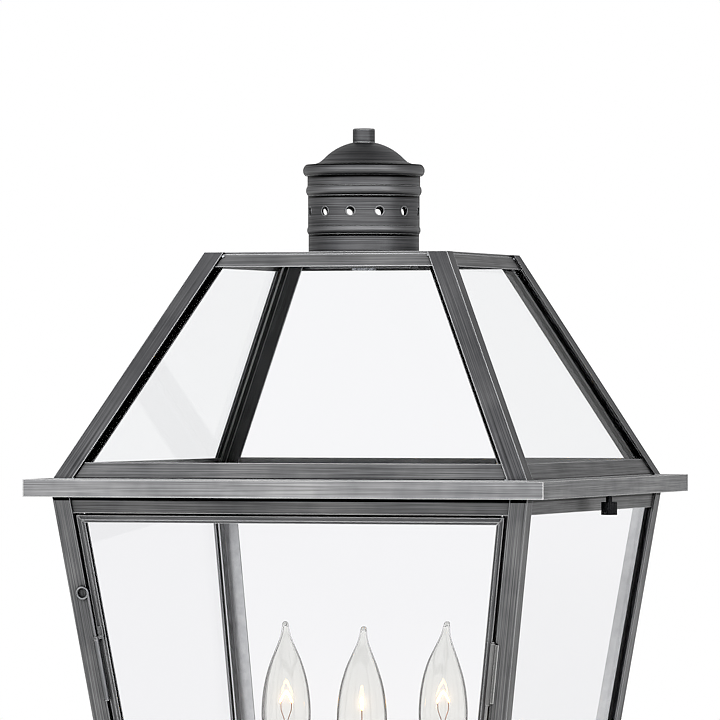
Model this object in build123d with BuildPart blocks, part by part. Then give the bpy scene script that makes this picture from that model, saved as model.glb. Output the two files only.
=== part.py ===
from build123d import *
import os
from math import atan2, degrees, sqrt

# Post top lantern: a square glazed body that widens upwards, a lift-off glazed roof with a vented
# chimney, a front door on a pin hinge, and three candle lamps. The origin is the centre of the
# post fitter's mouth, +Z is up, and -Y is the door side. Every size is in millimetres.

# ---- driving dimensions ------------------------------------------------------------------------
# metal and glass
sheet = 1.6                 # thickness of the bars, rails and plates
stop_sheet = 1.0            # thickness of the inner glass stops
glass = 3.0                 # pane thickness
solder_gap = 0.1            # each mitred end is this far from the mitre line
pane_play = 0.2             # free play of a pane in its seat
rest_gap = 0.3              # space left between a moving piece and its neighbour
pin_play = 0.05             # radial play of a pin or screw in its hole

# heights
fitter_depth = 73.0         # how far the post goes into the fitter
neck_height = 28.0          # round neck between fitter and base tray
body_height = 304.9         # base tray to the eave's lower edge
roof_height = 150.1         # eave to top plate

# body, measured over the corner posts
body_top_half = 162.9       # half width at the eave's lower edge
body_lean = 0.142           # each side leans out by this much per millimetre of height
post_leg = 12.0             # leg of a corner post
body_rail_visible = 10.7    # top rail seen below the eave
bottom_rail_height = 16.0
rail_ledge = 14.0           # inward ledge of the top and bottom rails

# roof, measured over the hip bars
roof_base_half = body_top_half - 0.2
roof_top_half = 0.518 * body_top_half
hip_leg = 13.5
roof_base_rail_height = 10.9
roof_top_rail_height = 8.3

# eave
eave_half = body_top_half + 15.1
eave_height = 11.5
eave_leg = 30.0             # level leg that carries the roof

# inner glass stops
stop_leg = 11.0
door_stop_lap = 3.0         # how far a door stop reaches behind the door's bar

# door
door_gap = 2.6              # to the corner posts
door_gap_top = 1.6          # to the top rail and the bottom rail
door_bar = 4.8              # face width of the door frame's channel
door_depth = 6.1            # depth of the channel
door_web = 1.2              # back of the channel's groove

# hinge and latch
barrel_radius = 1.6
barrel_length = 41.0
knuckle_length = 13.0       # the door's own knuckle between the two barrels
hinge_wire = 0.8            # radius of the hinge pin
latch_wire = 0.75           # radius of the latch pin's wire
latch_barrel_drop = 94.0    # eave's lower edge to the top of the latch barrel
latch_reach = 30.0          # how far the latch pin goes into its barrel
latch_ring_drop = 62.8      # eave's lower edge to the centre of the ring
latch_ring_radius = 3.8     # to the middle of the wire
eye_sheet = 1.6
eye_radius = 1.9
leaf_sheet = 0.8
leaf_length = 6.5

# thumb screws that hold the roof down
thumb_offset = body_top_half + 8.6      # from the centre of the lantern
thumb_knob_radius = 5.4
thumb_knob_height = 8.7
thumb_knob_drop = 4.5       # eave's lower edge to the top of the knob
thumb_shoulder_radius = 2.2
thumb_thread_radius = 1.5
lug_width = 18.0
lug_reach = thumb_offset + 4.4
eave_nut_radius = 4.0
eave_nut_height = 4.0
lug_drop = sheet + eave_nut_height + 0.6    # eave's top to the upper face of the lug

# fitter, neck and base tray
post_bore_radius = 38.5
fitter_wall = 2.8
stop_plate = 3.0            # plate that closes the fitter and stands on the post
stop_rise = 11.0            # the plate's raised middle, which clears the stem nut
stop_middle = 16.0
neck_top_radius = 66.0
collar_height = 5.0
collar_out = 3.2            # collar beyond the fitter's wall
collar_edge = 1.2
neck_rim_height = 3.0
tray_overhang = 8.0         # tray beyond the corner posts
tray_skirt = 11.0
tray_corner = 1.5
set_screw_height = 30.0
set_screw_radius = 2.5
set_screw_head = 5.5
set_screw_head_height = 6.0
set_screw_standoff = 1.5    # the head's underside to the fitter's wall

# chimney
chimney_base_radius = 37.25
chimney_top_radius = chimney_base_radius + 0.75
chimney_wall = 1.25
chimney_height = 57.0
lower_bead_height = 15.6
lower_bead_radius = chimney_base_radius + 1.0
upper_bead_height = 42.2
upper_bead_radius = chimney_top_radius + 1.0
vent_radius = 3.0
vent_height = 28.2
vent_count = 12
vent_turn = 4.0             # the chimney stands this many degrees off the lantern's sides
cap_rim_radius = chimney_top_radius + 3.0
cap_rim_low = 52.3
cap_rim_high = 60.0
cap_dome_radius = chimney_top_radius - 6.2
cap_dome_top = 74.9
cap_wall = 1.2
finial_radius = 7.5
finial_height = 9.4
rod_radius = 3.0
rod_nut_radius = 8.0
rod_nut_height = 1.7
strap_drop = 9.8            # top plate's upper face to the strap's lower face
strap_width = 16.0
flue_radius = chimney_base_radius - 4.25    # hole in the top plate
strap_screw_offset = flue_radius + 7.0
strap_screw_radius = 1.5
strap_end = strap_screw_offset + 4.0
strap_rise = flue_radius + 1.0              # centre to the strap's upright legs

# candle lamps
cluster_radius = 61.5       # centre of the lantern to each candle
cluster_turn = 16.7         # the lamps stand this many degrees off the door's normal
stem_radius = 6.0
stem_bore = 4.0
hub_radius = 18.0
hub_height = 25.5
arm_radius = 4.0
arm_bend = 14.0
arm_rise = 12.5             # base tray to the arm's centre line
cup_radius = 17.0
cup_height = 6.0
sleeve_radius = 11.0
sleeve_wall = 1.1
socket_radius = 9.4
socket_drop = 3.0           # sleeve's top to the socket's top
bulb_base_radius = 6.0
bulb_base_height = 22.0
bulb_base_proud = 4.0       # how far the base stands out of its socket
bulb_tip_drop = 87.0        # eave's lower edge to the tips of the lamps
bulb_length = 99.8          # of the glass, neck to tip
bulb_radius = 16.8
bulb_wall = 0.7

# ---- places worked out from them -----------------------------------------------------------------
fitter_top = fitter_depth + stop_plate
tray_top = fitter_top + neck_height + sheet
eave_low = tray_top + body_height
eave_top = eave_low + eave_height
body_top = eave_top - sheet
plate_top = eave_top + roof_height
plate_low = plate_top - sheet


class LeaningFrame:
    """Square frame with four alike leaning sides; sizes are taken on its outer faces."""

    def __init__(self, z_ref, half_ref, lean):
        self.z_ref = z_ref
        self.half_ref = half_ref
        self.lean = lean                        # growth of the half width per unit of height
        self.slope = sqrt(1 + lean * lean)      # length along a face per unit of height

    def half(self, z):
        return self.half_ref + self.lean * (z - self.z_ref)

    def across(self, thickness):
        """Level width of a sheet of this thickness that lies in a face."""
        return thickness * self.slope

    def face(self, depth=0.0):
        """Plane of the front face, moved inwards by depth; its y runs up the slope."""
        normal = (0, -1, -self.lean)
        front = Plane(origin=(0, -self.half_ref, self.z_ref), x_dir=(1, 0, 0), z_dir=normal)
        return front.offset(-depth)

    def height_on_face(self, z, depth=0.0):
        """The face plane's own y for a point at height z."""
        return (z - self.z_ref - depth * self.lean / self.slope) * self.slope

    def trapezoid(self, z_low, z_high, margin, depth=0.0):
        """Corners of a pane's outline on the face plane, kept off the corners by margin."""
        low, high = self.height_on_face(z_low, depth), self.height_on_face(z_high, depth)
        wide_low, wide_high = self.half(z_low) - margin, self.half(z_high) - margin
        return [(-wide_low, low), (wide_low, low), (wide_high, high), (-wide_high, high)]


body = LeaningFrame(eave_low, body_top_half, body_lean)
roof = LeaningFrame(eave_top, roof_base_half, (roof_top_half - roof_base_half) / roof_height)

# depths from the outer face: flange, then rail, then glass, then the inner stop
rail_depth = sheet
glass_depth = 2 * sheet
stop_depth = glass_depth + glass + pane_play


def corner_angle(frame, depth, leg, thickness, z_low, z_high):
    """Angle bar along the front right corner, its two legs flat in the two faces."""
    corner = frame.half(z_low) - frame.across(depth)
    wall = frame.across(thickness)
    along = Vector(frame.lean, -frame.lean, 1)
    with BuildPart() as bar:
        with BuildSketch(Plane.XY.offset(z_low)):
            with BuildLine():
                Polyline(
                    (corner, -corner),
                    (corner, leg - corner),
                    (corner - wall, leg - corner),
                    (corner - wall, wall - corner),
                    (corner - leg, wall - corner),
                    (corner - leg, -corner),
                    close=True,
                )
            make_face()
        extrude(amount=(z_high - z_low) * along.length, dir=along)
    return bar.part


def mitred_bar(profile):
    """Bar across the front with this (y, z) profile, mitred at both ends."""
    reach = max(abs(y) for y, z in profile) + 1
    z_values = [z for y, z in profile]
    pull_back = solder_gap * sqrt(2)
    with BuildPart() as bar:
        with BuildSketch(Plane.YZ):
            with BuildLine():
                Polyline(*profile, close=True)
            make_face()
        extrude(amount=reach, both=True)
        with BuildSketch(Plane.XY.offset(min(z_values) - 1)):
            with BuildLine():
                Polyline(
                    (0, -pull_back),
                    (-reach, -reach - pull_back),
                    (reach, -reach - pull_back),
                    close=True,
                )
            make_face()
        extrude(amount=max(z_values) - min(z_values) + 2, mode=Mode.INTERSECT)
    return bar.part


def four_sides(piece):
    """The same piece on all four sides."""
    with BuildPart() as ring:
        with PolarLocations(0, 4):
            add(piece)
    return ring.part


def pane(frame, z_low, z_high, margin, side):
    """Glass pane behind the rails; side counts quarter turns from the front."""
    with BuildPart() as sheet_of_glass:
        with BuildSketch(frame.face(glass_depth)):
            with BuildLine():
                Polyline(*frame.trapezoid(z_low, z_high, margin, glass_depth), close=True)
            make_face()
        extrude(amount=-glass)
    return sheet_of_glass.part.rotate(Axis.Z, 90 * side)


def save(part, label):
    part.label = label
    export_step(part, f"parts/{label}.step")


os.makedirs("parts", exist_ok=True)

# ---- post fitter: a cup that slips over the post, closed by a stop plate -------------------------
fitter_radius = post_bore_radius + fitter_wall
with BuildPart() as post_fitter:
    with BuildSketch(Plane.XZ):
        with BuildLine():
            Polyline(
                (post_bore_radius, 0),
                (fitter_radius, 0),
                (fitter_radius, fitter_top),
                (stop_middle + sheet, fitter_top),
                (stop_middle + sheet, fitter_top + stop_rise),
                (stem_radius + pane_play, fitter_top + stop_rise),
                (stem_radius + pane_play, fitter_depth + stop_rise),
                (stop_middle, fitter_depth + stop_rise),
                (stop_middle, fitter_depth),
                (post_bore_radius, fitter_depth),
                close=True,
            )
        make_face()
    revolve(axis=Axis.Z)
    with Locations(Plane.XY.offset(set_screw_height)):
        with PolarLocations(fitter_radius, 3, start_angle=90):
            with Locations(Rotation(0, 90, 0)):
                Hole(radius=set_screw_radius + pin_play, depth=2 * fitter_wall)
save(post_fitter.part, "post_fitter")

# three set screws clamp the fitter on the post; their points stop just short of the bore
with BuildPart() as set_screw:
    with BuildSketch(Plane.YZ.offset(post_bore_radius + pane_play)):
        with Locations((0, set_screw_height)):
            Circle(set_screw_radius)
    extrude(amount=fitter_wall + set_screw_standoff)
    with BuildSketch(Plane.YZ.offset(fitter_radius + set_screw_standoff)):
        with Locations((0, set_screw_height)):
            Circle(set_screw_head)
    extrude(amount=set_screw_head_height)
    chamfer(set_screw.faces().sort_by(Axis.X)[-1].edges(), set_screw_head_height / 10)
with BuildPart() as fitter_set_screws:
    with PolarLocations(0, 3, start_angle=90):
        add(set_screw.part)
save(fitter_set_screws.part, "fitter_set_screws")

# ---- neck and base tray --------------------------------------------------------------------------
neck_low = fitter_top
neck_high = fitter_top + neck_height
collar_radius = fitter_radius + collar_out
with BuildPart() as neck:
    with BuildSketch(Plane.XZ):
        with BuildLine():
            collar = Polyline(
                (fitter_radius - 4, neck_low),
                (collar_radius - collar_edge, neck_low),
                (collar_radius, neck_low + collar_edge),
                (collar_radius, neck_low + collar_height - collar_edge),
                (collar_radius - collar_edge, neck_low + collar_height),
                (fitter_radius, neck_low + collar_height),
            )
            # the flare opens in three cones, and its wall keeps the same thickness
            Polyline(
                collar @ 1,
                (fitter_radius + 3.0, neck_high - 15),
                (fitter_radius + 9.0, neck_high - 8),
                (neck_top_radius - 3, neck_high - neck_rim_height),
                (neck_top_radius, neck_high - neck_rim_height),
                (neck_top_radius, neck_high),
                (neck_top_radius - 5, neck_high),
                (fitter_radius + 7.0, neck_high - 6),
                (fitter_radius + 1.0, neck_high - 14),
                (fitter_radius - 4, neck_low + collar_height),
                collar @ 0,
            )
        make_face()
    revolve(axis=Axis.Z)
save(neck.part, "neck")

tray_half = body.half(tray_top) + tray_overhang
with BuildPart() as base_tray:
    with BuildSketch(Plane.XY.offset(tray_top - tray_skirt)):
        Rectangle(2 * tray_half, 2 * tray_half)
    extrude(amount=tray_skirt)
    with BuildSketch(Plane.XY.offset(tray_top - tray_skirt)):
        Rectangle(2 * (tray_half - sheet), 2 * (tray_half - sheet))
    extrude(amount=tray_skirt - sheet, mode=Mode.SUBTRACT)
    with BuildSketch(Plane.XY.offset(tray_top)):
        Circle(stem_radius + pane_play)
    extrude(amount=-2 * sheet, mode=Mode.SUBTRACT)
    fillet(base_tray.edges().filter_by(Axis.Z).group_by(SortBy.LENGTH)[-1], tray_corner)
save(base_tray.part, "base_tray")

# ---- body frame ----------------------------------------------------------------------------------
save(four_sides(corner_angle(body, 0, post_leg, sheet, tray_top, body_top)), "corner_posts")

stop_low = tray_top + sheet
stop_high = body_top - sheet
post_stop = corner_angle(body, stop_depth, stop_leg, stop_sheet, stop_low, stop_high)
save(four_sides(post_stop), "post_glass_stops")

rail_in = body.across(rail_depth)
rail_wall = body.across(sheet)
top_rail_low = eave_low - body_rail_visible
top_rail_profile = [
    (rail_in - body.half(top_rail_low), top_rail_low),
    (rail_in - body.half(body_top), body_top),
    (rail_in + rail_ledge - body.half(body_top), body_top),
    (rail_in + rail_ledge - body.half(body_top), stop_high),
    (rail_in + rail_wall - body.half(stop_high), stop_high),
    (rail_in + rail_wall - body.half(top_rail_low), top_rail_low),
]
save(four_sides(mitred_bar(top_rail_profile)), "body_top_rails")

bottom_rail_high = tray_top + bottom_rail_height
bottom_rail_profile = [
    (rail_in - body.half(tray_top), tray_top),
    (rail_in - body.half(bottom_rail_high), bottom_rail_high),
    (rail_in + rail_wall - body.half(bottom_rail_high), bottom_rail_high),
    (rail_in + rail_wall - body.half(stop_low), stop_low),
    (rail_in + rail_ledge - body.half(tray_top), stop_low),
    (rail_in + rail_ledge - body.half(tray_top), tray_top),
]
save(four_sides(mitred_bar(bottom_rail_profile)), "body_bottom_rails")

# three fixed panes; their edges stop short of the corners so that neighbours don't meet
body_pane_margin = body.across(glass_depth + glass) + 2 * pane_play
for side, name in ((1, "glass_right"), (2, "glass_back"), (3, "glass_left")):
    save(pane(body, stop_low + 2 * pane_play, stop_high - 4 * pane_play, body_pane_margin, side), name)

# ---- lugs on the side rails, which the thumb screws pass through ---------------------------------
lug_top = eave_top - lug_drop
lug_low = lug_top - sheet
lug_high = lug_top + 3.3


def rail_face(z):
    return body.half(z) - rail_in


with BuildPart() as screw_lug:
    with BuildSketch(Plane.XZ):
        with BuildLine():
            Polyline(
                (rail_face(lug_low), lug_low),
                (lug_reach, lug_low),
                (lug_reach, lug_top),
                (rail_face(lug_top) + sheet, lug_top),
                (rail_face(lug_high) + sheet, lug_high),
                (rail_face(lug_high), lug_high),
                close=True,
            )
        make_face()
    extrude(amount=lug_width / 2, both=True)
    with BuildSketch(Plane.XY.offset(lug_top)):
        with Locations((thumb_offset, 0)):
            Circle(thumb_thread_radius + 2 * pin_play)
    extrude(amount=-2 * sheet, mode=Mode.SUBTRACT)
with BuildPart() as screw_lugs:
    with PolarLocations(0, 2):
        add(screw_lug.part)
save(screw_lugs.part, "screw_lugs")

# ---- hinge: barrels on the right post, a knuckle on the door, one pin through them ---------------
pin_margin = post_leg + door_gap / 2        # corner to the middle of the gap beside the door
pin_standoff = barrel_radius + rest_gap     # pin's centre line ahead of the front face


def edge_plane(side, z):
    """Plane square to the gap beside the door, centred on its pin: side is 1 right, -1 left."""
    normal = Vector(0, -1, -body.lean)
    along = Vector(side * body.lean, -body.lean, 1)
    centre = Vector(side * (body.half(z) - pin_margin), -body.half(z), z)
    centre = centre + normal * (pin_standoff / body.slope)
    return Plane(origin=centre, x_dir=along.cross(normal), z_dir=along)


def tube(plane, low, length, radius, bore):
    """Barrel along the plane's normal, from low upwards."""
    with BuildPart() as barrel:
        with BuildSketch(plane.offset(low)):
            Circle(radius)
            Circle(bore, mode=Mode.SUBTRACT)
        extrude(amount=length)
    return barrel.part


def post_barrel(plane, low, length, bore, side):
    """Barrel with the solder that holds it to the edge of the corner post."""
    with BuildPart() as barrel:
        add(tube(plane, low, length, barrel_radius, bore))
        with BuildSketch(plane.offset(low + 1.0)):
            with BuildLine():
                Polyline(
                    (side * barrel_radius * 0.95, 0.3),
                    (side * 3.4, pin_standoff),
                    (side * door_gap * 0.52, pin_standoff),
                    (side * 0.5, barrel_radius * 0.9),
                    close=True,
                )
            make_face()
        extrude(amount=length - 2.0)
    return barrel.part


hinge_middle = tray_top + body_height / 2
hinge_plane = edge_plane(1, hinge_middle)
knuckle_gap = 13.0
hinge_bore = hinge_wire + pin_play
barrel_start = knuckle_length / 2 + knuckle_gap
with BuildPart() as hinge_barrels:
    for low in (barrel_start, -barrel_start - barrel_length):
        add(post_barrel(hinge_plane, low, barrel_length, hinge_bore, 1))
save(hinge_barrels.part, "hinge_barrels")

pin_length = 2 * (barrel_start + barrel_length) + 2.0
with BuildPart() as hinge_pin:
    with BuildSketch(hinge_plane.offset(-pin_length / 2)):
        Circle(hinge_wire)
    extrude(amount=pin_length)
save(hinge_pin.part, "hinge_pin")

with BuildPart() as door_knuckle:
    add(tube(hinge_plane, -knuckle_length / 2, knuckle_length, barrel_radius, hinge_bore))
    with BuildSketch(hinge_plane.offset(-knuckle_length / 2)):
        with BuildLine():
            Polyline(
                (0, pin_standoff - leaf_sheet),
                (0, barrel_radius * 0.98),
                (-door_gap / 2, pin_standoff),
                (-leaf_length, pin_standoff),
                (-leaf_length, pin_standoff - leaf_sheet),
                close=True,
            )
        make_face()
    extrude(amount=knuckle_length)
save(door_knuckle.part, "door_knuckle")

# ---- door: four mitred channel bars round a pane --------------------------------------------------
door_low = bottom_rail_high + door_gap_top
door_high = top_rail_low - door_gap_top
door_margin = post_leg + door_gap
saw_cut = 2 * solder_gap
front = body.face()
door_corners = body.trapezoid(door_low, door_high, door_margin)


def inset_corners(corners, inset):
    """The same trapezoid made smaller by inset on every side."""
    (low_x, low_y), (high_x, high_y) = corners[1], corners[2]
    lean = (high_x - low_x) / (high_y - low_y)
    side_step = inset * sqrt(1 + lean * lean)
    low_x, high_x = low_x + lean * inset - side_step, high_x - lean * inset - side_step
    low_y, high_y = low_y + inset, high_y - inset
    return [(-low_x, low_y), (low_x, low_y), (high_x, high_y), (-high_x, high_y)]


groove = glass + pane_play
lip = (door_depth - groove) / 2
opening_corners = inset_corners(door_corners, door_bar)
with BuildPart() as door_frame:
    with BuildSketch(front):
        with BuildLine():
            Polyline(*door_corners, close=True)
        make_face()
        with BuildLine():
            Polyline(*opening_corners, close=True)
        make_face(mode=Mode.SUBTRACT)
    extrude(amount=-door_depth)
    # a bead line round the face of the channel
    with BuildSketch(front):
        with BuildLine():
            Polyline(*inset_corners(door_corners, door_bar * 0.62), close=True)
        make_face()
        with BuildLine():
            Polyline(*opening_corners, close=True)
        make_face(mode=Mode.SUBTRACT)
    extrude(amount=-0.5, mode=Mode.SUBTRACT)
    with BuildSketch(front.offset(-lip)):
        with BuildLine():
            Polyline(*inset_corners(door_corners, door_web), close=True)
        make_face()
    extrude(amount=-groove, mode=Mode.SUBTRACT)
    # the mitres
    with BuildSketch(front):
        for (x_out, y_out), (x_in, y_in) in zip(door_corners, opening_corners):
            turn = degrees(atan2(y_in - y_out, x_in - x_out))
            with Locations(((x_out + x_in) / 2, (y_out + y_in) / 2)):
                Rectangle(3 * door_bar, saw_cut, rotation=turn)
    extrude(amount=-door_depth, mode=Mode.SUBTRACT)
save(door_frame.part, "door_frame")

with BuildPart() as door_glass:
    with BuildSketch(front.offset(-lip - pane_play / 2)):
        with BuildLine():
            Polyline(*inset_corners(door_corners, door_web + pane_play), close=True)
        make_face()
    extrude(amount=-glass)
save(door_glass.part, "door_glass")

# two angle strips behind the door, which it closes against: one hangs from the top rail's ledge
# and one stands on the bottom rail's
stop_in = body.across(stop_depth)
stop_wall = body.across(stop_sheet)


def door_stop(ledge, free_edge, ledge_half):
    """Angle strip with one leg flat on the ledge and one up or down to its free edge."""
    leg = stop_sheet if free_edge > ledge else -stop_sheet
    back = rail_in + rail_ledge - ledge_half
    length = body.half(min(ledge, free_edge)) - stop_in - stop_leg - rest_gap
    with BuildPart() as strip:
        with BuildSketch(Plane.YZ):
            with BuildLine():
                Polyline(
                    (stop_in - body.half(ledge), ledge),
                    (stop_in - body.half(free_edge), free_edge),
                    (stop_in + stop_wall - body.half(free_edge), free_edge),
                    (stop_in + stop_wall - body.half(ledge + leg), ledge + leg),
                    (back, ledge + leg),
                    (back, ledge),
                    close=True,
                )
            make_face()
        extrude(amount=length, both=True)
    return strip.part


with BuildPart() as door_stops:
    add(door_stop(stop_high, door_high - door_stop_lap, body.half(body_top)))
    add(door_stop(stop_low, door_low + door_stop_lap, body.half(tray_top)))
save(door_stops.part, "door_stops")

# ---- latch: a ring pin that drops through an eye on the door into a barrel on the left post -------
latch_top = eave_low - latch_barrel_drop
latch_plane = edge_plane(-1, latch_top)
latch_bore = latch_wire + pin_play
with BuildPart() as latch_barrel:
    add(post_barrel(latch_plane, -barrel_length, barrel_length, latch_bore, -1))
save(latch_barrel.part, "latch_barrel")

with BuildPart() as latch_eye:
    with BuildSketch(latch_plane.offset(rest_gap)):
        Circle(eye_radius)
        with Locations((2.6, pin_standoff / 2)):
            Rectangle(5.2, pin_standoff)
        Circle(latch_wire + 2 * pin_play, mode=Mode.SUBTRACT)
    extrude(amount=eye_sheet)
    with BuildSketch(latch_plane.offset(rest_gap)):
        with Locations((3.7, pin_standoff - leaf_sheet / 2)):
            Rectangle(3.0, leaf_sheet)
    extrude(amount=8.0)
save(latch_eye.part, "latch_eye")

latch_along = Vector(-body.lean, -body.lean, 1).normalized()
ring_rise = (latch_barrel_drop - latch_ring_drop) * latch_along.length / latch_along.Z
ring_open = 24.0            # the ring's free end stops this many degrees short of the shank
latch_face = Plane(origin=latch_plane.origin, x_dir=latch_plane.x_dir, z_dir=-latch_plane.y_dir)
with BuildPart() as latch_pin:
    with BuildSketch(latch_plane.offset(-latch_reach)):
        Circle(latch_wire)
    extrude(amount=latch_reach + ring_rise)
    with BuildLine(latch_face) as ring_path:
        CenterArc((-latch_ring_radius, ring_rise), latch_ring_radius, 0, 360 - ring_open)
    with BuildSketch(Plane(origin=ring_path.line @ 0, z_dir=ring_path.line % 0)):
        Circle(latch_wire)
    sweep(path=ring_path.line)
save(latch_pin.part, "latch_pin")

# ---- thumb screws ----------------------------------------------------------------------------------
knob_top = eave_low - thumb_knob_drop
shoulder_top = lug_low - rest_gap
thread_top = body_top - 0.5
flute_count = 20
with BuildPart() as thumb_screw:
    with BuildSketch(Plane.XY.offset(knob_top - thumb_knob_height)):
        with Locations((thumb_offset, 0)):
            Circle(thumb_knob_radius)
            with PolarLocations(thumb_knob_radius + 0.15, flute_count):
                RegularPolygon(0.6, 4, mode=Mode.SUBTRACT)
    extrude(amount=thumb_knob_height)
    with BuildSketch(Plane.XY.offset(knob_top)):
        with Locations((thumb_offset, 0)):
            Circle(thumb_shoulder_radius)
    extrude(amount=shoulder_top - knob_top)
    with BuildSketch(Plane.XY.offset(shoulder_top)):
        with Locations((thumb_offset, 0)):
            Circle(thumb_thread_radius)
    extrude(amount=thread_top - shoulder_top)
save(thumb_screw.part, "thumb_screw_right")
save(thumb_screw.part.rotate(Axis.Z, 180), "thumb_screw_left")

# ---- eave ------------------------------------------------------------------------------------------
eave_profile = [
    (-eave_half, eave_low),
    (-eave_half, eave_top),
    (eave_leg - eave_half, eave_top),
    (eave_leg - eave_half, body_top),
    (sheet - eave_half, body_top),
    (sheet - eave_half, eave_low),
]
save(four_sides(mitred_bar(eave_profile)), "eave_rim")

with BuildPart() as eave_nuts:
    with BuildSketch(Plane.XY.offset(body_top - eave_nut_height)):
        with PolarLocations(thumb_offset, 2):
            Circle(eave_nut_radius)
            Circle(thumb_thread_radius + pin_play, mode=Mode.SUBTRACT)
    extrude(amount=eave_nut_height)
save(eave_nuts.part, "eave_nuts")

# ---- roof frame ------------------------------------------------------------------------------------
save(four_sides(corner_angle(roof, 0, hip_leg, sheet, eave_top, plate_top)), "hip_bars")
hip_stop = corner_angle(roof, stop_depth, stop_leg, stop_sheet, eave_top, plate_low)
save(four_sides(hip_stop), "hip_glass_stops")


def roof_strip(z_low, z_high):
    """Profile of a flat bar that lies behind the hip bars."""
    near = roof.across(rail_depth)
    far = near + roof.across(sheet)
    return [
        (near - roof.half(z_low), z_low),
        (near - roof.half(z_high), z_high),
        (far - roof.half(z_high), z_high),
        (far - roof.half(z_low), z_low),
    ]


save(four_sides(mitred_bar(roof_strip(eave_top, eave_top + roof_base_rail_height))), "roof_base_rails")
save(four_sides(mitred_bar(roof_strip(plate_low - roof_top_rail_height, plate_low))), "roof_top_rails")

roof_pane_margin = roof.across(glass_depth + glass) + 3 * pane_play
roof_pane_low = eave_top - roof.lean / roof.slope * glass + 2 * pane_play
roof_pane_high = plate_low - 2.0
for side, name in enumerate(("roof_glass_front", "roof_glass_right", "roof_glass_back", "roof_glass_left")):
    save(pane(roof, roof_pane_low, roof_pane_high, roof_pane_margin, side), name)

# the top plate sits inside the hip bars, on the top rails
plate_half = roof_top_half - roof.across(sheet)
with BuildPart() as top_plate:
    with BuildSketch(Plane.XY.offset(plate_low)):
        Rectangle(2 * plate_half, 2 * plate_half)
        Circle(flue_radius, mode=Mode.SUBTRACT)
        with PolarLocations(strap_screw_offset, 2):
            Circle(strap_screw_radius + pin_play, mode=Mode.SUBTRACT)
    extrude(amount=sheet)
save(top_plate.part, "top_plate")

# ---- chimney ----------------------------------------------------------------------------------------
chimney_mid_radius = (chimney_base_radius + chimney_top_radius) / 2
chimney_bore = chimney_base_radius - chimney_wall
lower_bead = 2.5            # half height of each bead
upper_bead = 3.2
with BuildPart() as chimney:
    with BuildSketch(Plane.XZ):
        with BuildLine():
            foot = plate_top + lower_bead_height
            head = plate_top + upper_bead_height
            base = Polyline(
                (chimney_bore, plate_top),
                (chimney_base_radius, plate_top),
                (chimney_base_radius, foot - lower_bead),
            )
            bead_one = ThreePointArc(
                base @ 1, (lower_bead_radius, foot), (chimney_mid_radius, foot + lower_bead)
            )
            middle = Line(bead_one @ 1, (chimney_mid_radius, head - upper_bead))
            bead_two = ThreePointArc(
                middle @ 1, (upper_bead_radius, head), (chimney_top_radius, head + upper_bead)
            )
            Polyline(
                bead_two @ 1,
                (chimney_top_radius, plate_top + chimney_height),
                (chimney_bore, plate_top + chimney_height),
                base @ 0,
            )
        make_face()
    revolve(axis=Axis.Z)
    with BuildSketch(Plane.YZ):
        with Locations((0, plate_top + vent_height)):
            Circle(vent_radius)
    vent = extrude(amount=2 * chimney_top_radius, mode=Mode.PRIVATE)
    with PolarLocations(0, vent_count, start_angle=vent_turn):
        add(vent, mode=Mode.SUBTRACT)
save(chimney.part, "chimney")

cap_fit = chimney_top_radius + pane_play
rim_low = plate_top + cap_rim_low
rim_high = plate_top + cap_rim_high
dome_top = plate_top + cap_dome_top
dome_rise = dome_top - rim_high
dome_foot = 0.84 * cap_dome_radius
ball_rise = 0.71 * dome_rise                # dome's foot to its top
ball_drop = (dome_foot ** 2 - finial_radius ** 2 - ball_rise ** 2) / (2 * ball_rise)
ball_radius = sqrt(dome_foot ** 2 + ball_drop ** 2)
with BuildPart() as chimney_cap:
    with BuildSketch(Plane.XZ):
        with BuildLine():
            rim_foot = Line((cap_fit, rim_low), (cap_rim_radius - 1.6, rim_low))
            rim_bead = ThreePointArc(
                rim_foot @ 1,
                (cap_rim_radius, (rim_low + rim_high) / 2),
                (cap_rim_radius - 2.2, rim_high),
            )
            flare = Polyline(
                rim_bead @ 1,
                (cap_dome_radius + 1.2, rim_high + 0.4),
                (0.93 * cap_dome_radius, rim_high + 0.12 * dome_rise),
                (dome_foot, rim_high + 0.29 * dome_rise),
            )
            # the dome is part of a ball, whose centre lies on the axis
            dome = RadiusArc(flare @ 1, (finial_radius, dome_top), -ball_radius)
            hole = Polyline(
                dome @ 1,
                (rod_radius + pin_play, dome_top),
                (rod_radius + pin_play, dome_top - cap_wall),
                (finial_radius, dome_top - cap_wall),
            )
            Polyline(
                hole @ 1,
                (0.57 * cap_dome_radius, rim_high + 0.73 * dome_rise - cap_wall),
                (0.80 * cap_dome_radius, rim_high + 0.29 * dome_rise - cap_wall),
                (cap_dome_radius, rim_high - cap_wall),
                (cap_fit, rim_high - cap_wall),
                rim_foot @ 0,
            )
        make_face()
    revolve(axis=Axis.Z)
save(chimney_cap.part, "chimney_cap")

finial_low = plate_top + cap_dome_top
finial_bore = finial_height - 2.0
with BuildPart() as finial:
    with BuildSketch(Plane.XY.offset(finial_low)):
        Circle(finial_radius)
    extrude(amount=finial_height)
    chamfer(finial.faces().sort_by(Axis.Z)[-1].edges(), 0.7)
    with BuildSketch(Plane.XY.offset(finial_low)):
        Circle(rod_radius + pin_play)
    extrude(amount=finial_bore, mode=Mode.SUBTRACT)
save(finial.part, "finial")

nut_low = plate_top - strap_drop - rod_nut_height
with BuildPart() as chimney_rod:
    with BuildSketch(Plane.XY.offset(nut_low)):
        Circle(rod_radius)
    extrude(amount=finial_low + finial_bore - rest_gap - nut_low)
save(chimney_rod.part, "chimney_rod")

with BuildPart() as rod_nut:
    with BuildSketch(Plane.XY.offset(nut_low)):
        Circle(rod_nut_radius)
        Circle(rod_radius + pin_play, mode=Mode.SUBTRACT)
    extrude(amount=rod_nut_height)
save(rod_nut.part, "rod_nut")

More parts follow.
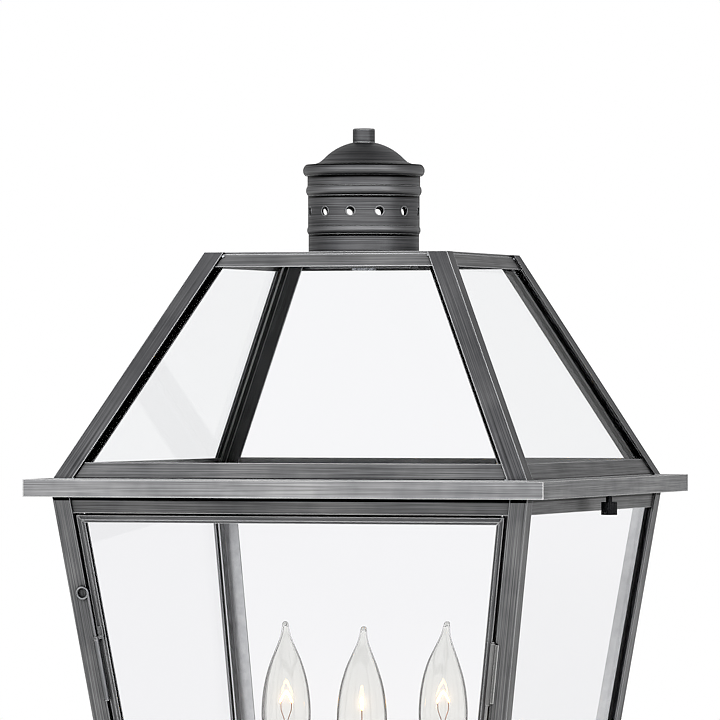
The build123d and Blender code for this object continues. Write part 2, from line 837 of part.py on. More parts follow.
# strap under the top plate, bent like a hat so that air passes round it
strap_low = plate_top - strap_drop
with BuildPart() as rod_strap:
    with BuildSketch(Plane.XZ):
        with BuildLine():
            Polyline(
                (-strap_end, plate_low),
                (-strap_rise, plate_low),
                (-strap_rise, strap_low + sheet),
                (strap_rise, strap_low + sheet),
                (strap_rise, plate_low),
                (strap_end, plate_low),
                (strap_end, plate_low - sheet),
                (strap_rise + sheet, plate_low - sheet),
                (strap_rise + sheet, strap_low),
                (-strap_rise - sheet, strap_low),
                (-strap_rise - sheet, plate_low - sheet),
                (-strap_end, plate_low - sheet),
                close=True,
            )
        make_face()
    extrude(amount=strap_width / 2, both=True)
    with BuildSketch(Plane.XY.offset(plate_low)):
        Circle(rod_radius + pin_play)
        with PolarLocations(strap_screw_offset, 2):
            Circle(strap_screw_radius + pin_play)
    extrude(amount=-2 * strap_drop, mode=Mode.SUBTRACT)
save(rod_strap.part, "rod_strap")

with BuildPart() as strap_screws:
    with BuildSketch(Plane.XY.offset(plate_low - sheet)):
        with PolarLocations(strap_screw_offset, 2):
            Circle(strap_screw_radius)
    extrude(amount=2 * sheet)
    with BuildSketch(Plane.XY.offset(plate_low - sheet)):
        with PolarLocations(strap_screw_offset, 2):
            Circle(2 * strap_screw_radius)
    extrude(amount=-1.6)
save(strap_screws.part, "strap_screws")

# ---- lamp cluster -----------------------------------------------------------------------------------
stem_low = fitter_depth + stop_rise - 7.0
stem_nut_height = 4.5
stem_nut_radius = 9.5
hub_low = tray_top + stem_nut_height
hub_high = hub_low + hub_height
cap_nut_height = 9.0
stem_high = hub_high + cap_nut_height - 2.5
with BuildPart() as centre_stem:
    with BuildSketch(Plane.XY.offset(stem_low)):
        Circle(stem_radius)
        Circle(stem_bore, mode=Mode.SUBTRACT)
    extrude(amount=stem_high - stem_low)
save(centre_stem.part, "centre_stem")

with BuildPart() as stem_nuts:
    for nut_height in (fitter_depth + stop_rise - stem_nut_height, tray_top):
        with BuildSketch(Plane.XY.offset(nut_height)):
            RegularPolygon(stem_nut_radius, 6)
            Circle(stem_radius + pin_play, mode=Mode.SUBTRACT)
        extrude(amount=stem_nut_height)
save(stem_nuts.part, "stem_nuts")

arm_height = tray_top + arm_rise
arm_hole = arm_radius + pane_play
with BuildPart() as cluster_hub:
    with BuildSketch(Plane.XZ):
        with BuildLine():
            Polyline(
                (stem_radius + pane_play, hub_low),
                (hub_radius - 2, hub_low),
                (hub_radius, hub_low + 2),
                (hub_radius, hub_high - 6),
                (hub_radius - 6, hub_high),
                (stem_radius + pane_play, hub_high),
                close=True,
            )
        make_face()
    revolve(axis=Axis.Z)
    with BuildSketch(Plane.YZ.offset(stem_radius + 3)):
        with Locations((0, arm_height)):
            Circle(arm_hole)
    arm_socket = extrude(amount=hub_radius, mode=Mode.PRIVATE)
    with PolarLocations(0, 3, start_angle=cluster_turn - 90):
        add(arm_socket, mode=Mode.SUBTRACT)
save(cluster_hub.part, "cluster_hub")

cap_nut_radius = 10.5
with BuildPart() as hub_cap_nut:
    with BuildSketch(Plane.XY.offset(hub_high)):
        Circle(cap_nut_radius)
    extrude(amount=cap_nut_height)
    chamfer(hub_cap_nut.faces().sort_by(Axis.Z)[-1].edges(), cap_nut_height / 3)
    with BuildSketch(Plane.XY.offset(hub_high)):
        Circle(stem_radius + pin_play)
    extrude(amount=stem_high - hub_high + pane_play, mode=Mode.SUBTRACT)
save(hub_cap_nut.part, "hub_cap_nut")

cup_low = arm_height + arm_bend + 2.0
with BuildPart() as one_arm:
    with BuildLine(Plane.XZ) as arm_path:
        reach_out = Line((stem_radius + 3.2, arm_height), (cluster_radius - arm_bend, arm_height))
        bend_up = RadiusArc(
            reach_out @ 1, (cluster_radius, arm_height + arm_bend), -arm_bend
        )
        Line(bend_up @ 1, (cluster_radius, cup_low))
    with BuildSketch(Plane(origin=arm_path.line @ 0, z_dir=arm_path.line % 0)):
        Circle(arm_radius)
    sweep(path=arm_path.line)
with BuildPart() as cluster_arms:
    with PolarLocations(0, 3, start_angle=cluster_turn - 90):
        add(one_arm.part)
save(cluster_arms.part, "cluster_arms")


def three_lamps(piece):
    """The same turned piece at each candle."""
    with BuildPart() as lamps:
        with PolarLocations(cluster_radius, 3, start_angle=cluster_turn - 90):
            add(piece)
    return lamps.part


with BuildPart() as candle_cup:
    with BuildSketch(Plane.XZ):
        with BuildLine():
            cup_floor = cup_low + sheet
            Polyline(
                (0, cup_low),
                (cup_radius - 5.5, cup_low),
                (cup_radius - 1.8, cup_low + 0.35 * cup_height),
                (cup_radius, cup_low + cup_height),
                (cup_radius - 1.2, cup_low + cup_height),
                (cup_radius - 3.2, cup_floor + 0.2 * cup_height),
                (cup_radius - 5.0, cup_floor),
                (0, cup_floor),
                close=True,
            )
        make_face()
    revolve(axis=Axis.Z)
save(three_lamps(candle_cup.part), "candle_cups")

# the candle's height is what the arms and the lamp leave between tray and tip
tip = eave_low - bulb_tip_drop
base_high = tip - bulb_length
base_low = base_high - bulb_base_height
socket_top = base_high - bulb_base_proud
sleeve_low = cup_low + sheet
sleeve_top = socket_top + socket_drop
with BuildPart() as candle_sleeve:
    with BuildSketch(Plane.XY.offset(sleeve_low)):
        Circle(sleeve_radius)
        Circle(sleeve_radius - sleeve_wall, mode=Mode.SUBTRACT)
    extrude(amount=sleeve_top - sleeve_low)
save(three_lamps(candle_sleeve.part), "candle_sleeves")

with BuildPart() as lamp_socket:
    with BuildSketch(Plane.XY.offset(sleeve_low)):
        Circle(socket_radius)
    extrude(amount=socket_top - sleeve_low)
    with BuildSketch(Plane.XY.offset(base_low - rest_gap)):
        Circle(bulb_base_radius + 0.5)
    extrude(amount=bulb_base_height, mode=Mode.SUBTRACT)
save(three_lamps(lamp_socket.part), "lamp_sockets")

contact_radius = 2.6
contact_height = 3.0
with BuildPart() as bulb_base:
    with BuildSketch(Plane.XZ):
        with BuildLine():
            Polyline(
                (0, base_low),
                (contact_radius, base_low),
                (bulb_base_radius, base_low + contact_height),
                (bulb_base_radius, base_high),
                (0, base_high),
                close=True,
            )
        make_face()
    revolve(axis=Axis.Z)
save(three_lamps(bulb_base.part), "bulb_bases")

# flame-shaped glass, blown open at the neck; each share of the length has its share of the radius
flame = [(0.13, 0.74), (0.27, 0.965), (0.41, 0.985), (0.55, 0.885), (0.69, 0.67), (0.83, 0.35)]
neck_radius = bulb_base_radius - 0.2
tip_radius = 1.2
inner_tip = tip - 9 * bulb_wall
outline = [(share * bulb_radius, base_high + height * bulb_length) for height, share in flame]
with BuildPart() as bulb:
    with BuildSketch(Plane.XZ):
        with BuildLine():
            Polyline(
                (neck_radius, base_high),
                *outline,
                (tip_radius, tip),
                (0, tip),
                (0, inner_tip),
                *[(r - bulb_wall, z) for r, z in reversed(outline)],
                (neck_radius - bulb_wall, base_high),
                close=True,
            )
        make_face()
    revolve(axis=Axis.Z)
save(three_lamps(bulb.part), "bulb_glass")

# flared glass stem with two lead wires that carry the filament
filament_height = base_high + 0.46 * bulb_length
mount_high = base_high + 0.30 * bulb_length
flare_radius = neck_radius - bulb_wall - 1.0
lead_spread = 4.4
lead_bend = 5.0             # the leads run straight up for this much below the filament
wire = 0.35
with BuildPart() as bulb_mount:
    with BuildSketch(Plane.XZ):
        with BuildLine():
            Polyline(
                (0, base_high),
                (flare_radius, base_high),
                (0.55 * flare_radius, base_high + 0.09 * bulb_length),
                (0.40 * flare_radius, mount_high),
                (0, mount_high),
                close=True,
            )
        make_face()
    revolve(axis=Axis.Z)
save(three_lamps(bulb_mount.part), "bulb_mounts")

with BuildPart() as filament:
    with BuildLine(Plane.XZ) as lead_path:
        Polyline(
            (-1.0, mount_high + wire),
            (-lead_spread, filament_height - lead_bend),
            (-lead_spread, filament_height),
            (lead_spread, filament_height),
            (lead_spread, filament_height - lead_bend),
            (1.0, mount_high + wire),
        )
    with BuildSketch(Plane(origin=lead_path.line @ 0, z_dir=lead_path.line % 0)):
        RegularPolygon(wire, 6)
    sweep(path=lead_path.line, transition=Transition.RIGHT)
save(three_lamps(filament.part), "bulb_filaments")
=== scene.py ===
from math import cos, pi, radians, sin, tau

import bmesh
import bpy
from mathutils import Matrix, Vector


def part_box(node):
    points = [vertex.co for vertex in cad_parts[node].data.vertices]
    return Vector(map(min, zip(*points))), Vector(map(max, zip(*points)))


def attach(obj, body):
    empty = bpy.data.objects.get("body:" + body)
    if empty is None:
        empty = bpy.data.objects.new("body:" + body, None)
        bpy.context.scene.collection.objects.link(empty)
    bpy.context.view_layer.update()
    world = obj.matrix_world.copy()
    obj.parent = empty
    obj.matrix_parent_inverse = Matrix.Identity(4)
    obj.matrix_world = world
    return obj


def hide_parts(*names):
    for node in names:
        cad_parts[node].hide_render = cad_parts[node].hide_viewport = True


# Post top lantern in aged, brushed zinc with clear glass and three candle lamps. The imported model
# is the fixed frame; this script gives it its finishes and the details too fine for it.
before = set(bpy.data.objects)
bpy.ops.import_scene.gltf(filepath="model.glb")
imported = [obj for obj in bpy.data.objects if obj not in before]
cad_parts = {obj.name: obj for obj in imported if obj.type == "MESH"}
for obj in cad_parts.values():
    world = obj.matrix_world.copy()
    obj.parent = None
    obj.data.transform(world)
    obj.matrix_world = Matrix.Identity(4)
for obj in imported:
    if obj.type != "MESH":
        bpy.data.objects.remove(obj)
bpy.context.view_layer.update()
scene = bpy.context.scene


# ---- corner posts --------------------------------------------
# Four leaning angle bars of zinc sheet, soldered to the rails. The sheet was brushed along its length
# before it was bent, then darkened, so fine light and dark streaks follow each bar and the darkening has
# rubbed off on its edges, which are also painted lighter as if they caught the light.
def linear(colour):
    """An sRGB hex colour as linear RGBA."""
    parts = [int(colour[i:i + 2], 16) / 255 for i in (1, 3, 5)]
    return [p / 12.92 if p < 0.04045 else ((p + 0.055) / 1.055) ** 2.4 for p in parts] + [1.0]


def add(tree, kind, inputs=None, output=0, **settings):
    """Adds a node with its settings and returns one of its outputs; inputs gives each socket a
    value or links it."""
    made = tree.nodes.new(kind)
    for name, value in settings.items():
        setattr(made, name, value)
    for socket, value in (inputs or {}).items():
        if isinstance(value, bpy.types.NodeSocket):
            tree.links.new(value, made.inputs[socket])
        else:
            made.inputs[socket].default_value = value
    return made.outputs[output] if made.outputs else None


def new_material(name):
    """A material with no nodes yet; returns it and its tree."""
    material = bpy.data.materials.new(name)
    material.use_nodes = True
    material.node_tree.nodes.clear()
    return material, material.node_tree


def brush_lines(tree, run, lean):
    """Vector whose noise gives streaks along the bars. run is how the piece was brushed: round, up
    or level, or for a frame of bars the width within its side bars, which run up."""
    fine = 1 / 0.00038      # the real grit is finer; drawn 0.38 mm wide so that it shows
    long = 1 / 0.080        # a streak is about 80 mm long
    place = add(tree, "ShaderNodeTexCoord", output="Object")
    if run == "round":
        return add(tree, "ShaderNodeVectorMath", {0: place, 1: (long, long, fine)}, operation="MULTIPLY")
    x, y, z = add(tree, "ShaderNodeSeparateXYZ", {0: place}).node.outputs
    width = add(tree, "ShaderNodeMath", {0: x}, operation="ABSOLUTE")
    depth = add(tree, "ShaderNodeMath", {0: y}, operation="ABSOLUTE")
    # up a leaning bar |x| and |y| grow with the height, so what is left stays put on each streak
    drift = add(tree, "ShaderNodeMath", {0: z, 1: lean}, operation="MULTIPLY")
    u = add(tree, "ShaderNodeMath", {0: width, 1: drift}, operation="SUBTRACT")
    v = add(tree, "ShaderNodeMath", {0: depth, 1: drift}, operation="SUBTRACT")
    up = add(tree, "ShaderNodeCombineXYZ", {0: u, 1: v, 2: z})
    up = add(tree, "ShaderNodeVectorMath", {0: up, 1: (fine, fine, long)}, operation="MULTIPLY")
    if run == "up":
        return up
    front = add(tree, "ShaderNodeMath", {0: depth, 1: width}, operation="GREATER_THAN")
    # a Mix node mixes numbers from sockets 2 and 3, vectors from 4 and 5, and colours from 6 and 7
    along = add(tree, "ShaderNodeMix", {"Factor": front, 2: y, 3: x})
    across = add(tree, "ShaderNodeMix", {"Factor": front, 2: x, 3: y})
    level = add(tree, "ShaderNodeCombineXYZ", {0: along, 1: across, 2: z})
    level = add(tree, "ShaderNodeVectorMath", {0: level, 1: (long, fine, fine)}, operation="MULTIPLY")
    if run == "level":
        return level
    side = add(tree, "ShaderNodeMath", {0: u, 1: run}, operation="GREATER_THAN")
    return add(tree, "ShaderNodeMix", {"Factor": side, 4: level, 5: up}, 1, data_type="VECTOR")


def within(tree, height, bands):
    """1 between the heights of any band, else 0."""
    found = 0.0
    for low, high in bands:
        middle, reach = (low + high) / 2, (high - low) / 2
        inside = add(tree, "ShaderNodeMath", {0: height, 1: middle, 2: reach}, operation="COMPARE")
        found = add(tree, "ShaderNodeMath", {0: inside, 1: found}, operation="MAXIMUM")
    return found


def aged_zinc(name, run, dark, light, worn="#E2E3E5", lean=0.0, rough=(0.36, 0.52), nook=0.006,
              black=(), painted_highlight_bands=(), bare=None):
    """Brushed and darkened zinc between two tones, with its edges worn light and painted lighter as if they
    caught the light. Painted shade darkens the outer faces within nook of a corner, the undersides, and the
    outer faces between the heights in black. A painted highlight lightens the heights in its highlight
    bands. bare is a light tone given to inner faces."""
    edge_width = 0.0010
    cloud_scale = 26.0          # the patina's clouds are about 38 mm across
    broad = 0.22                # bands of streaks, 1.7 mm wide
    highlight_share = 0.09              # how far a painted highlight band goes towards the worn tone
    inward = -0.02              # inner faces look back at the axis from over 20 mm away
    material, tree = new_material(name)
    lines = brush_lines(tree, run, lean)
    streak = add(tree, "ShaderNodeTexNoise",
                 {"Vector": lines, "Scale": 1.0, "Detail": 3.0, "Roughness": 0.6})
    wide = add(tree, "ShaderNodeVectorMath", {0: lines, 1: [broad] * 3}, operation="MULTIPLY")
    band = add(tree, "ShaderNodeTexNoise", {"Vector": wide, "Scale": 1.0, "Detail": 2.0})
    place = add(tree, "ShaderNodeTexCoord", output="Object")
    patina = add(tree, "ShaderNodeTexNoise",
                 {"Vector": place, "Scale": cloud_scale, "Detail": 3.0, "Roughness": 0.6})
    grit = add(tree, "ShaderNodeMapRange", {"Value": streak, "From Min": 0.25, "From Max": 0.75})
    band = add(tree, "ShaderNodeMapRange",
               {"Value": band, "From Min": 0.3, "From Max": 0.7, "To Min": -0.06, "To Max": 0.06})
    share = add(tree, "ShaderNodeMath", {0: grit, 1: band}, operation="ADD", use_clamp=True)
    cloud = add(tree, "ShaderNodeMapRange", {"Value": patina, "From Min": 0.32, "From Max": 0.68})
    brushed = add(tree, "ShaderNodeMix",
                  {0: share, 6: linear(dark), 7: linear(light)}, 2, data_type="RGBA")
    stain = add(tree, "ShaderNodeMix",
                {0: cloud, 6: linear("#D2D3D5"), 7: linear("#FFFFFF")}, 2, data_type="RGBA")
    tone = add(tree, "ShaderNodeMix",
               {0: 1.0, 6: brushed, 7: stain}, 2, data_type="RGBA", blend_type="MULTIPLY")
    height = add(tree, "ShaderNodeSeparateXYZ", {0: place}, "Z")
    # painted highlight: between these heights the tone is lightened towards the worn tone
    if painted_highlight_bands:
        thin = within(tree, height, painted_highlight_bands)
        thin = add(tree, "ShaderNodeMath", {0: thin, 1: highlight_share}, operation="MULTIPLY")
        tone = add(tree, "ShaderNodeMix", {0: thin, 6: tone, 7: linear(worn)}, 2, data_type="RGBA")
    # worn edges, and a painted highlight where the edges would catch the light: where a rounded normal
    # leaves the true one
    rounded = add(tree, "ShaderNodeBevel", {"Radius": edge_width}, samples=4)
    normal = add(tree, "ShaderNodeNewGeometry", output="Normal")
    facing = add(tree, "ShaderNodeVectorMath", {0: rounded, 1: normal}, "Value", operation="DOT_PRODUCT")
    edge = add(tree, "ShaderNodeMapRange", {"Value": facing, "From Min": 0.996, "From Max": 0.90})
    wear = add(tree, "ShaderNodeMapRange", {"Value": share, "To Min": 0.55, "To Max": 1.0})
    rubbed = add(tree, "ShaderNodeMath", {0: edge, 1: wear}, operation="MULTIPLY")
    # painted shade: ambient occlusion darkens the corners of the outer faces; faces behind the panes are
    # left out, because the panes would darken them as occluders
    recess = add(tree, "ShaderNodeAmbientOcclusion", {"Distance": nook}, "AO", samples=4)
    painted_shade = add(tree, "ShaderNodeMapRange",
                {"Value": recess, "From Min": 0.50, "From Max": 0.88, "To Min": 0.97, "To Max": 0.0})
    flat = add(tree, "ShaderNodeVectorMath", {0: place, 1: (1.0, 1.0, 0.0)}, operation="MULTIPLY")
    outer = add(tree, "ShaderNodeVectorMath", {0: flat, 1: normal}, "Value", operation="DOT_PRODUCT")
    outer = add(tree, "ShaderNodeMath", {0: outer, 1: inward}, operation="GREATER_THAN")
    painted_shade = add(tree, "ShaderNodeMath", {0: painted_shade, 1: outer}, operation="MULTIPLY")
    # painted shade on the undersides, darker the more a face looks down
    tilt = add(tree, "ShaderNodeSeparateXYZ", {0: normal}, "Z")
    under = add(tree, "ShaderNodeMapRange",
                {"Value": tilt, "From Min": -0.25, "From Max": -0.80, "To Max": 0.9})
    painted_shade = add(tree, "ShaderNodeMath", {0: painted_shade, 1: under}, operation="MAXIMUM")
    # painted shade on the outer faces between the heights in black
    if black:
        inside = within(tree, height, black)
        inside = add(tree, "ShaderNodeMath", {0: inside, 1: outer}, operation="MULTIPLY")
        painted_shade = add(tree, "ShaderNodeMath", {0: painted_shade, 1: inside}, operation="MAXIMUM")
    # the painted shade takes the tone towards near black
    tone = add(tree, "ShaderNodeMix", {0: painted_shade, 6: tone, 7: linear("#080808")}, 2, data_type="RGBA")
    if bare:
        inner = add(tree, "ShaderNodeMath", {0: 1.0, 1: outer}, operation="SUBTRACT")
        tone = add(tree, "ShaderNodeMix", {0: inner, 6: tone, 7: linear(bare)}, 2, data_type="RGBA")
    # worn edges and painted edge highlight: the edge mask takes the tone to the worn tone
    tone = add(tree, "ShaderNodeMix", {0: rubbed, 6: tone, 7: linear(worn)}, 2, data_type="RGBA")
    gloss = add(tree, "ShaderNodeMapRange", {"Value": share, "To Min": rough[1], "To Max": rough[0]})
    bump = add(tree, "ShaderNodeBump", {"Strength": 0.25, "Distance": 0.00012, "Height": streak})
    metal = add(tree, "ShaderNodeBsdfPrincipled",
                {"Base Color": tone, "Metallic": 1.0, "Roughness": gloss, "Normal": bump})
    add(tree, "ShaderNodeOutputMaterial", {0: metal})
    return material


def finish(material, *nodes):
    """Gives CAD nodes this material in place of their packed one."""
    for node in nodes:
        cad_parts[node].material_slots[0].material = material


BODY_LEAN = 0.142                                       # metres out for each metre up
eave_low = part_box("eave_rim")[0].z
EAVE_SHADOW_BAND = (eave_low - 0.0026, eave_low + 0.0035)     # painted shadow along the eave's lower edge
post_zinc = aged_zinc("aged zinc, brushed along the posts", "up", "#38383A", "#A4A4A5", worn="#BEBFC1",
                      lean=BODY_LEAN, black=[EAVE_SHADOW_BAND])
finish(post_zinc, "corner_posts")


# ---- inner glass stops ---------------------------------------
# Thin angle strips inside the posts and hips that hold the panes. The posts' are mill-finish sheet, painted
# by which way they face: where they face the door from the back they keep a soft light grey, painted as lit
# through the glass, and the rest of them is painted dark shade in patches.
def plain_metal(name, dark, light, rough, grain, bump_depth=0.00005, shade_tones=None):
    """Undarkened metal with a soft mottle; grain is the mottle's size in metres. Two dark tones, when
    given, paint shade in patches on all but what faces the front in the back half, which stays light as if
    lit."""
    round_off = 0.0003
    patches = (900.0, 900.0, 60.0)      # the stain's patches are about 1 mm wide and 17 mm high
    material, tree = new_material(name)
    place = add(tree, "ShaderNodeTexCoord", output="Object")
    mottle = add(tree, "ShaderNodeTexNoise", {"Vector": place, "Scale": 1 / grain, "Detail": 3.0})
    share = add(tree, "ShaderNodeMapRange", {"Value": mottle, "From Min": 0.3, "From Max": 0.7})
    tone = add(tree, "ShaderNodeMix", {0: share, 6: linear(dark), 7: linear(light)}, 2, data_type="RGBA")
    # painted light and shade by facing: front-facing faces in the back half keep the light tone, and the
    # rest get the dark tones
    if shade_tones:
        behind = add(tree, "ShaderNodeSeparateXYZ", {0: place}, "Y")
        behind = add(tree, "ShaderNodeMath", {0: behind, 1: 0.0}, operation="GREATER_THAN")
        ahead = add(tree, "ShaderNodeNewGeometry", output="Normal")
        ahead = add(tree, "ShaderNodeSeparateXYZ", {0: ahead}, "Y")
        ahead = add(tree, "ShaderNodeMath", {0: ahead, 1: -0.7}, operation="LESS_THAN")
        bare = add(tree, "ShaderNodeMath", {0: behind, 1: ahead}, operation="MULTIPLY")
        patchy = add(tree, "ShaderNodeVectorMath", {0: place, 1: patches}, operation="MULTIPLY")
        patchy = add(tree, "ShaderNodeTexNoise", {"Vector": patchy, "Scale": 1.0, "Detail": 2.0})
        patchy = add(tree, "ShaderNodeMapRange", {"Value": patchy, "From Min": 0.35, "From Max": 0.72})
        deep, pale = (linear(colour) for colour in shade_tones)
        aged = add(tree, "ShaderNodeMix", {0: patchy, 6: deep, 7: pale}, 2, data_type="RGBA")
        tone = add(tree, "ShaderNodeMix", {0: bare, 6: aged, 7: tone}, 2, data_type="RGBA")
    gloss = add(tree, "ShaderNodeMapRange",
                {"Value": mottle, "To Min": rough - 0.06, "To Max": rough + 0.06})
    rounded = add(tree, "ShaderNodeBevel", {"Radius": round_off}, samples=4)
    bump = add(tree, "ShaderNodeBump",
               {"Strength": 0.3, "Distance": bump_depth, "Height": mottle, "Normal": rounded})
    metal = add(tree, "ShaderNodeBsdfPrincipled",
                {"Base Color": tone, "Metallic": 1.0, "Roughness": gloss, "Normal": bump})
    add(tree, "ShaderNodeOutputMaterial", {0: metal})
    return material


finish(plain_metal("zinc sheet, mill finish, painted light and shade by facing", "#D2D3D5", "#E8E9EA", 0.32, 0.006,
                   shade_tones=("#39393A", "#7E7E80")), "post_glass_stops")
ROOF_LEAN = -0.522              # metres out for each metre up, so the hips lean in
finish(aged_zinc("aged zinc, brushed along the inner stops", "up", "#333334", "#7C7C7E",
                 lean=ROOF_LEAN), "hip_glass_stops")


# ---- body rails, lugs and base tray --------------------------
# Folded zinc rails mitred at the corners, two drilled lugs for the thumb screws, and the folded
# tray under them. All are brushed along the side that they lie on.
RAIL_TONES = ("#3C3C3D", "#969697")
rail_zinc = aged_zinc("aged zinc, brushed along the rails", "level", *RAIL_TONES)
finish(rail_zinc, "body_bottom_rails", "door_stops", "screw_lugs", "base_tray")
# the top rails carry the painted shadow under the eave
finish(aged_zinc("aged zinc, painted shadow under the eave", "level", *RAIL_TONES, black=[EAVE_SHADOW_BAND]),
       "body_top_rails")


# ---- post fitter, neck and set screws ------------------------
# A spun zinc cup that slips over the post, with the spun neck flaring out above it. The brushing
# runs round them, as it was put on in the lathe. Three slotted screws clamp the post.
def outline(base, points):
    """(radius, height above base) points in millimetres, as metres."""
    return [(r / 1000, base + z / 1000) for r, z in points]


def fair(points, steps=6):
    """Rounds a list of (radius, height) points off with a smooth curve through them."""
    curve = []
    for i in range(len(points) - 1):
        a, b = points[max(i - 1, 0)], points[i]
        c, d = points[i + 1], points[min(i + 2, len(points) - 1)]
        for step in range(steps):
            t = step / steps
            curve.append(tuple(
                0.5 * (2 * q + (r - p) * t + (2 * p - 5 * q + 4 * r - s) * t * t
                       + (3 * q - p - 3 * r + s) * t ** 3)
                for p, q, r, s in zip(a, b, c, d)))
    return curve + [points[-1]]


def turned(name, profile, centres=((0.0, 0.0),), segments=64, wave=None, closed=False, lean=None):
    """Turns (radius, height) points round upright axes. wave(z, angle) adds to the radius, and
    lean(number, z) shifts the axis of each centre."""
    shape = bmesh.new()
    for number, (cx, cy) in enumerate(centres):
        rings = []
        for r, z in profile:
            sx, sy = lean(number, z) if lean else (0.0, 0.0)
            if r == 0.0:
                rings.append([shape.verts.new((cx + sx, cy + sy, z))])
                continue
            ring = []
            for s in range(segments):
                angle = tau * s / segments
                radius = r + (wave(z, angle) if wave else 0.0)
                spot = (cx + sx + radius * cos(angle), cy + sy + radius * sin(angle), z)
                ring.append(shape.verts.new(spot))
            rings.append(ring)
        pairs = list(zip(rings, rings[1:])) + ([(rings[-1], rings[0])] if closed else [])
        for low, high in pairs:
            for s in range(segments):
                t = (s + 1) % segments
                face = [low[s % len(low)], low[t % len(low)], high[t % len(high)], high[s % len(high)]]
                face = list(dict.fromkeys(face))
                if len(face) > 2:
                    shape.faces.new(face)
    return finished(name, shape)


def finished(name, shape):
    """Makes a bmesh an object with outward normals, smooth but for its sharp edges."""
    weld, sharp = 1e-7, radians(35)
    bmesh.ops.remove_doubles(shape, verts=shape.verts, dist=weld)
    bmesh.ops.recalc_face_normals(shape, faces=shape.faces)
    mesh = bpy.data.meshes.new(name)
    shape.to_mesh(mesh)
    shape.free()
    mesh.shade_smooth()
    mesh.set_sharp_from_angle(angle=sharp)
    piece = bpy.data.objects.new(name, mesh)
    scene.collection.objects.link(piece)
    return piece


def place_piece(piece, material, body, slot, *nodes):
    """Gives a new piece its material, attaches it to its body and hides the nodes that it replaces; slot is
    not used.
    """
    piece.data.materials.clear()
    piece.data.materials.append(material)
    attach(piece, body)
    if nodes:
        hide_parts(*nodes)


SPUN_NOOK = 0.0038
spun_zinc = aged_zinc("aged zinc, brushed in the lathe", "round", "#2B2B2C", "#868688", nook=SPUN_NOOK)
finish(spun_zinc, "post_fitter", "fitter_set_screws")

# the neck's collar on the fitter, the flare's outside, its rim under the tray, and its inside
neck_low, neck_high = (corner.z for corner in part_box("neck"))
collar = outline(neck_low, [(37.3, 0), (43, 0), (44.1, 0.4), (44.5, 1.4), (44.5, 3.6), (44.1, 4.6),
                            (43, 5)])
flare_out = fair(outline(neck_low, [(41.5, 5.2), (42.2, 9)])
                 + outline(neck_high, [(44.3, -15), (50.3, -8), (60, -3.4)]))
rim = outline(neck_high, [(62.8, -3), (65.2, -3), (66, -2.2), (66, 0), (61, 0)])
flare_in = fair(outline(neck_high, [(60, -0.5), (48.3, -6), (42.3, -14)])
                + outline(neck_low, [(37.3, 5)]))
neck = turned("neck_spun", collar + flare_out + rim + flare_in, segments=96, closed=True)
place_piece(neck, spun_zinc, "lantern_body", "brushed_zinc", "neck")


# ---- hinge and latch -----------------------------------------
# Drawn tube barrels soldered to the posts, with a wire pin in each. The tube is brushed lengthwise
# and has darkened like the posts; the hinge has rubbed lighter as the door turned in it.
TUBE_ROUGH = (0.28, 0.42)
tube_zinc = aged_zinc("aged zinc tube, brushed lengthwise", "up", "#525356", "#A8A9AC", worn="#DCDCDE",
                      lean=BODY_LEAN, rough=TUBE_ROUGH)
finish(tube_zinc, "latch_barrel", "door_knuckle", "latch_pin")
finish(aged_zinc("aged zinc tube, rubbed lighter on the hinge", "up", "#6A6A6B", "#B4B4B3",
                 worn="#E6E6E6", lean=BODY_LEAN, rough=TUBE_ROUGH), "hinge_barrels", "hinge_pin")
finish(post_zinc, "latch_eye")


# ---- door ----------------------------------------------------
# A frame of small zinc channel, mitred and soldered, with the pane in its groove. Each bar is
# brushed along its own length.
DOOR_SIDE = 0.0776              # |x| less the lean's share, just inside the door's side bars
door_zinc = aged_zinc("aged zinc channel, brushed along each bar", DOOR_SIDE, "#2E2E2F", "#868688",
                      lean=BODY_LEAN)
finish(door_zinc, "door_frame")


# ---- panes ---------------------------------------------------
# Clear 3 mm float glass, with the faintest roll in its surface, so that what is behind it wavers
# a little at the edges.
def clear_glass(name, tint, glancing_shade, roll_scale, roll_depth, ior, rim=(0.0, 1.0)):
    """Clear glass whose colour turns to its glancing shade where it is seen at a glancing angle, a painted
    shade.
    """
    material, tree = new_material(name)
    place = add(tree, "ShaderNodeTexCoord", output="Object")
    roll = add(tree, "ShaderNodeTexNoise", {"Vector": place, "Scale": roll_scale, "Detail": 1.0})
    bump = add(tree, "ShaderNodeBump", {"Strength": 0.05, "Distance": roll_depth, "Height": roll})
    glance = add(tree, "ShaderNodeLayerWeight", {"Blend": 0.5}, "Facing")
    steep = add(tree, "ShaderNodeMapRange", {"Value": glance, "From Min": rim[0], "From Max": rim[1]})
    tone = add(tree, "ShaderNodeMix",
               {0: steep, 6: linear(tint), 7: linear(glancing_shade)}, 2, data_type="RGBA")
    glass = add(tree, "ShaderNodeBsdfPrincipled",
                {"Base Color": tone, "Roughness": 0.0, "IOR": ior, "Transmission Weight": 1.0,
                 "Normal": bump})
    add(tree, "ShaderNodeOutputMaterial", {0: glass})
    return material


# the index is well below real glass, because the panes in sight show no reflections at all
PANE_INDEX = 1.08
PANE_ROLL = (14.0, 0.0004)      # waves about 70 mm apart
finish(clear_glass("clear float glass", "#FBFBFC", "#F8F9F9", *PANE_ROLL, PANE_INDEX),
       "roof_glass_front", "roof_glass_right", "roof_glass_back", "roof_glass_left")
# the body's panes have picked up a faint haze from the lamps' heat
finish(clear_glass("clear float glass, faintly hazed", "#FAFAFB", "#F6F6F7", *PANE_ROLL, PANE_INDEX),
       "glass_right", "glass_back", "glass_left", "door_glass")


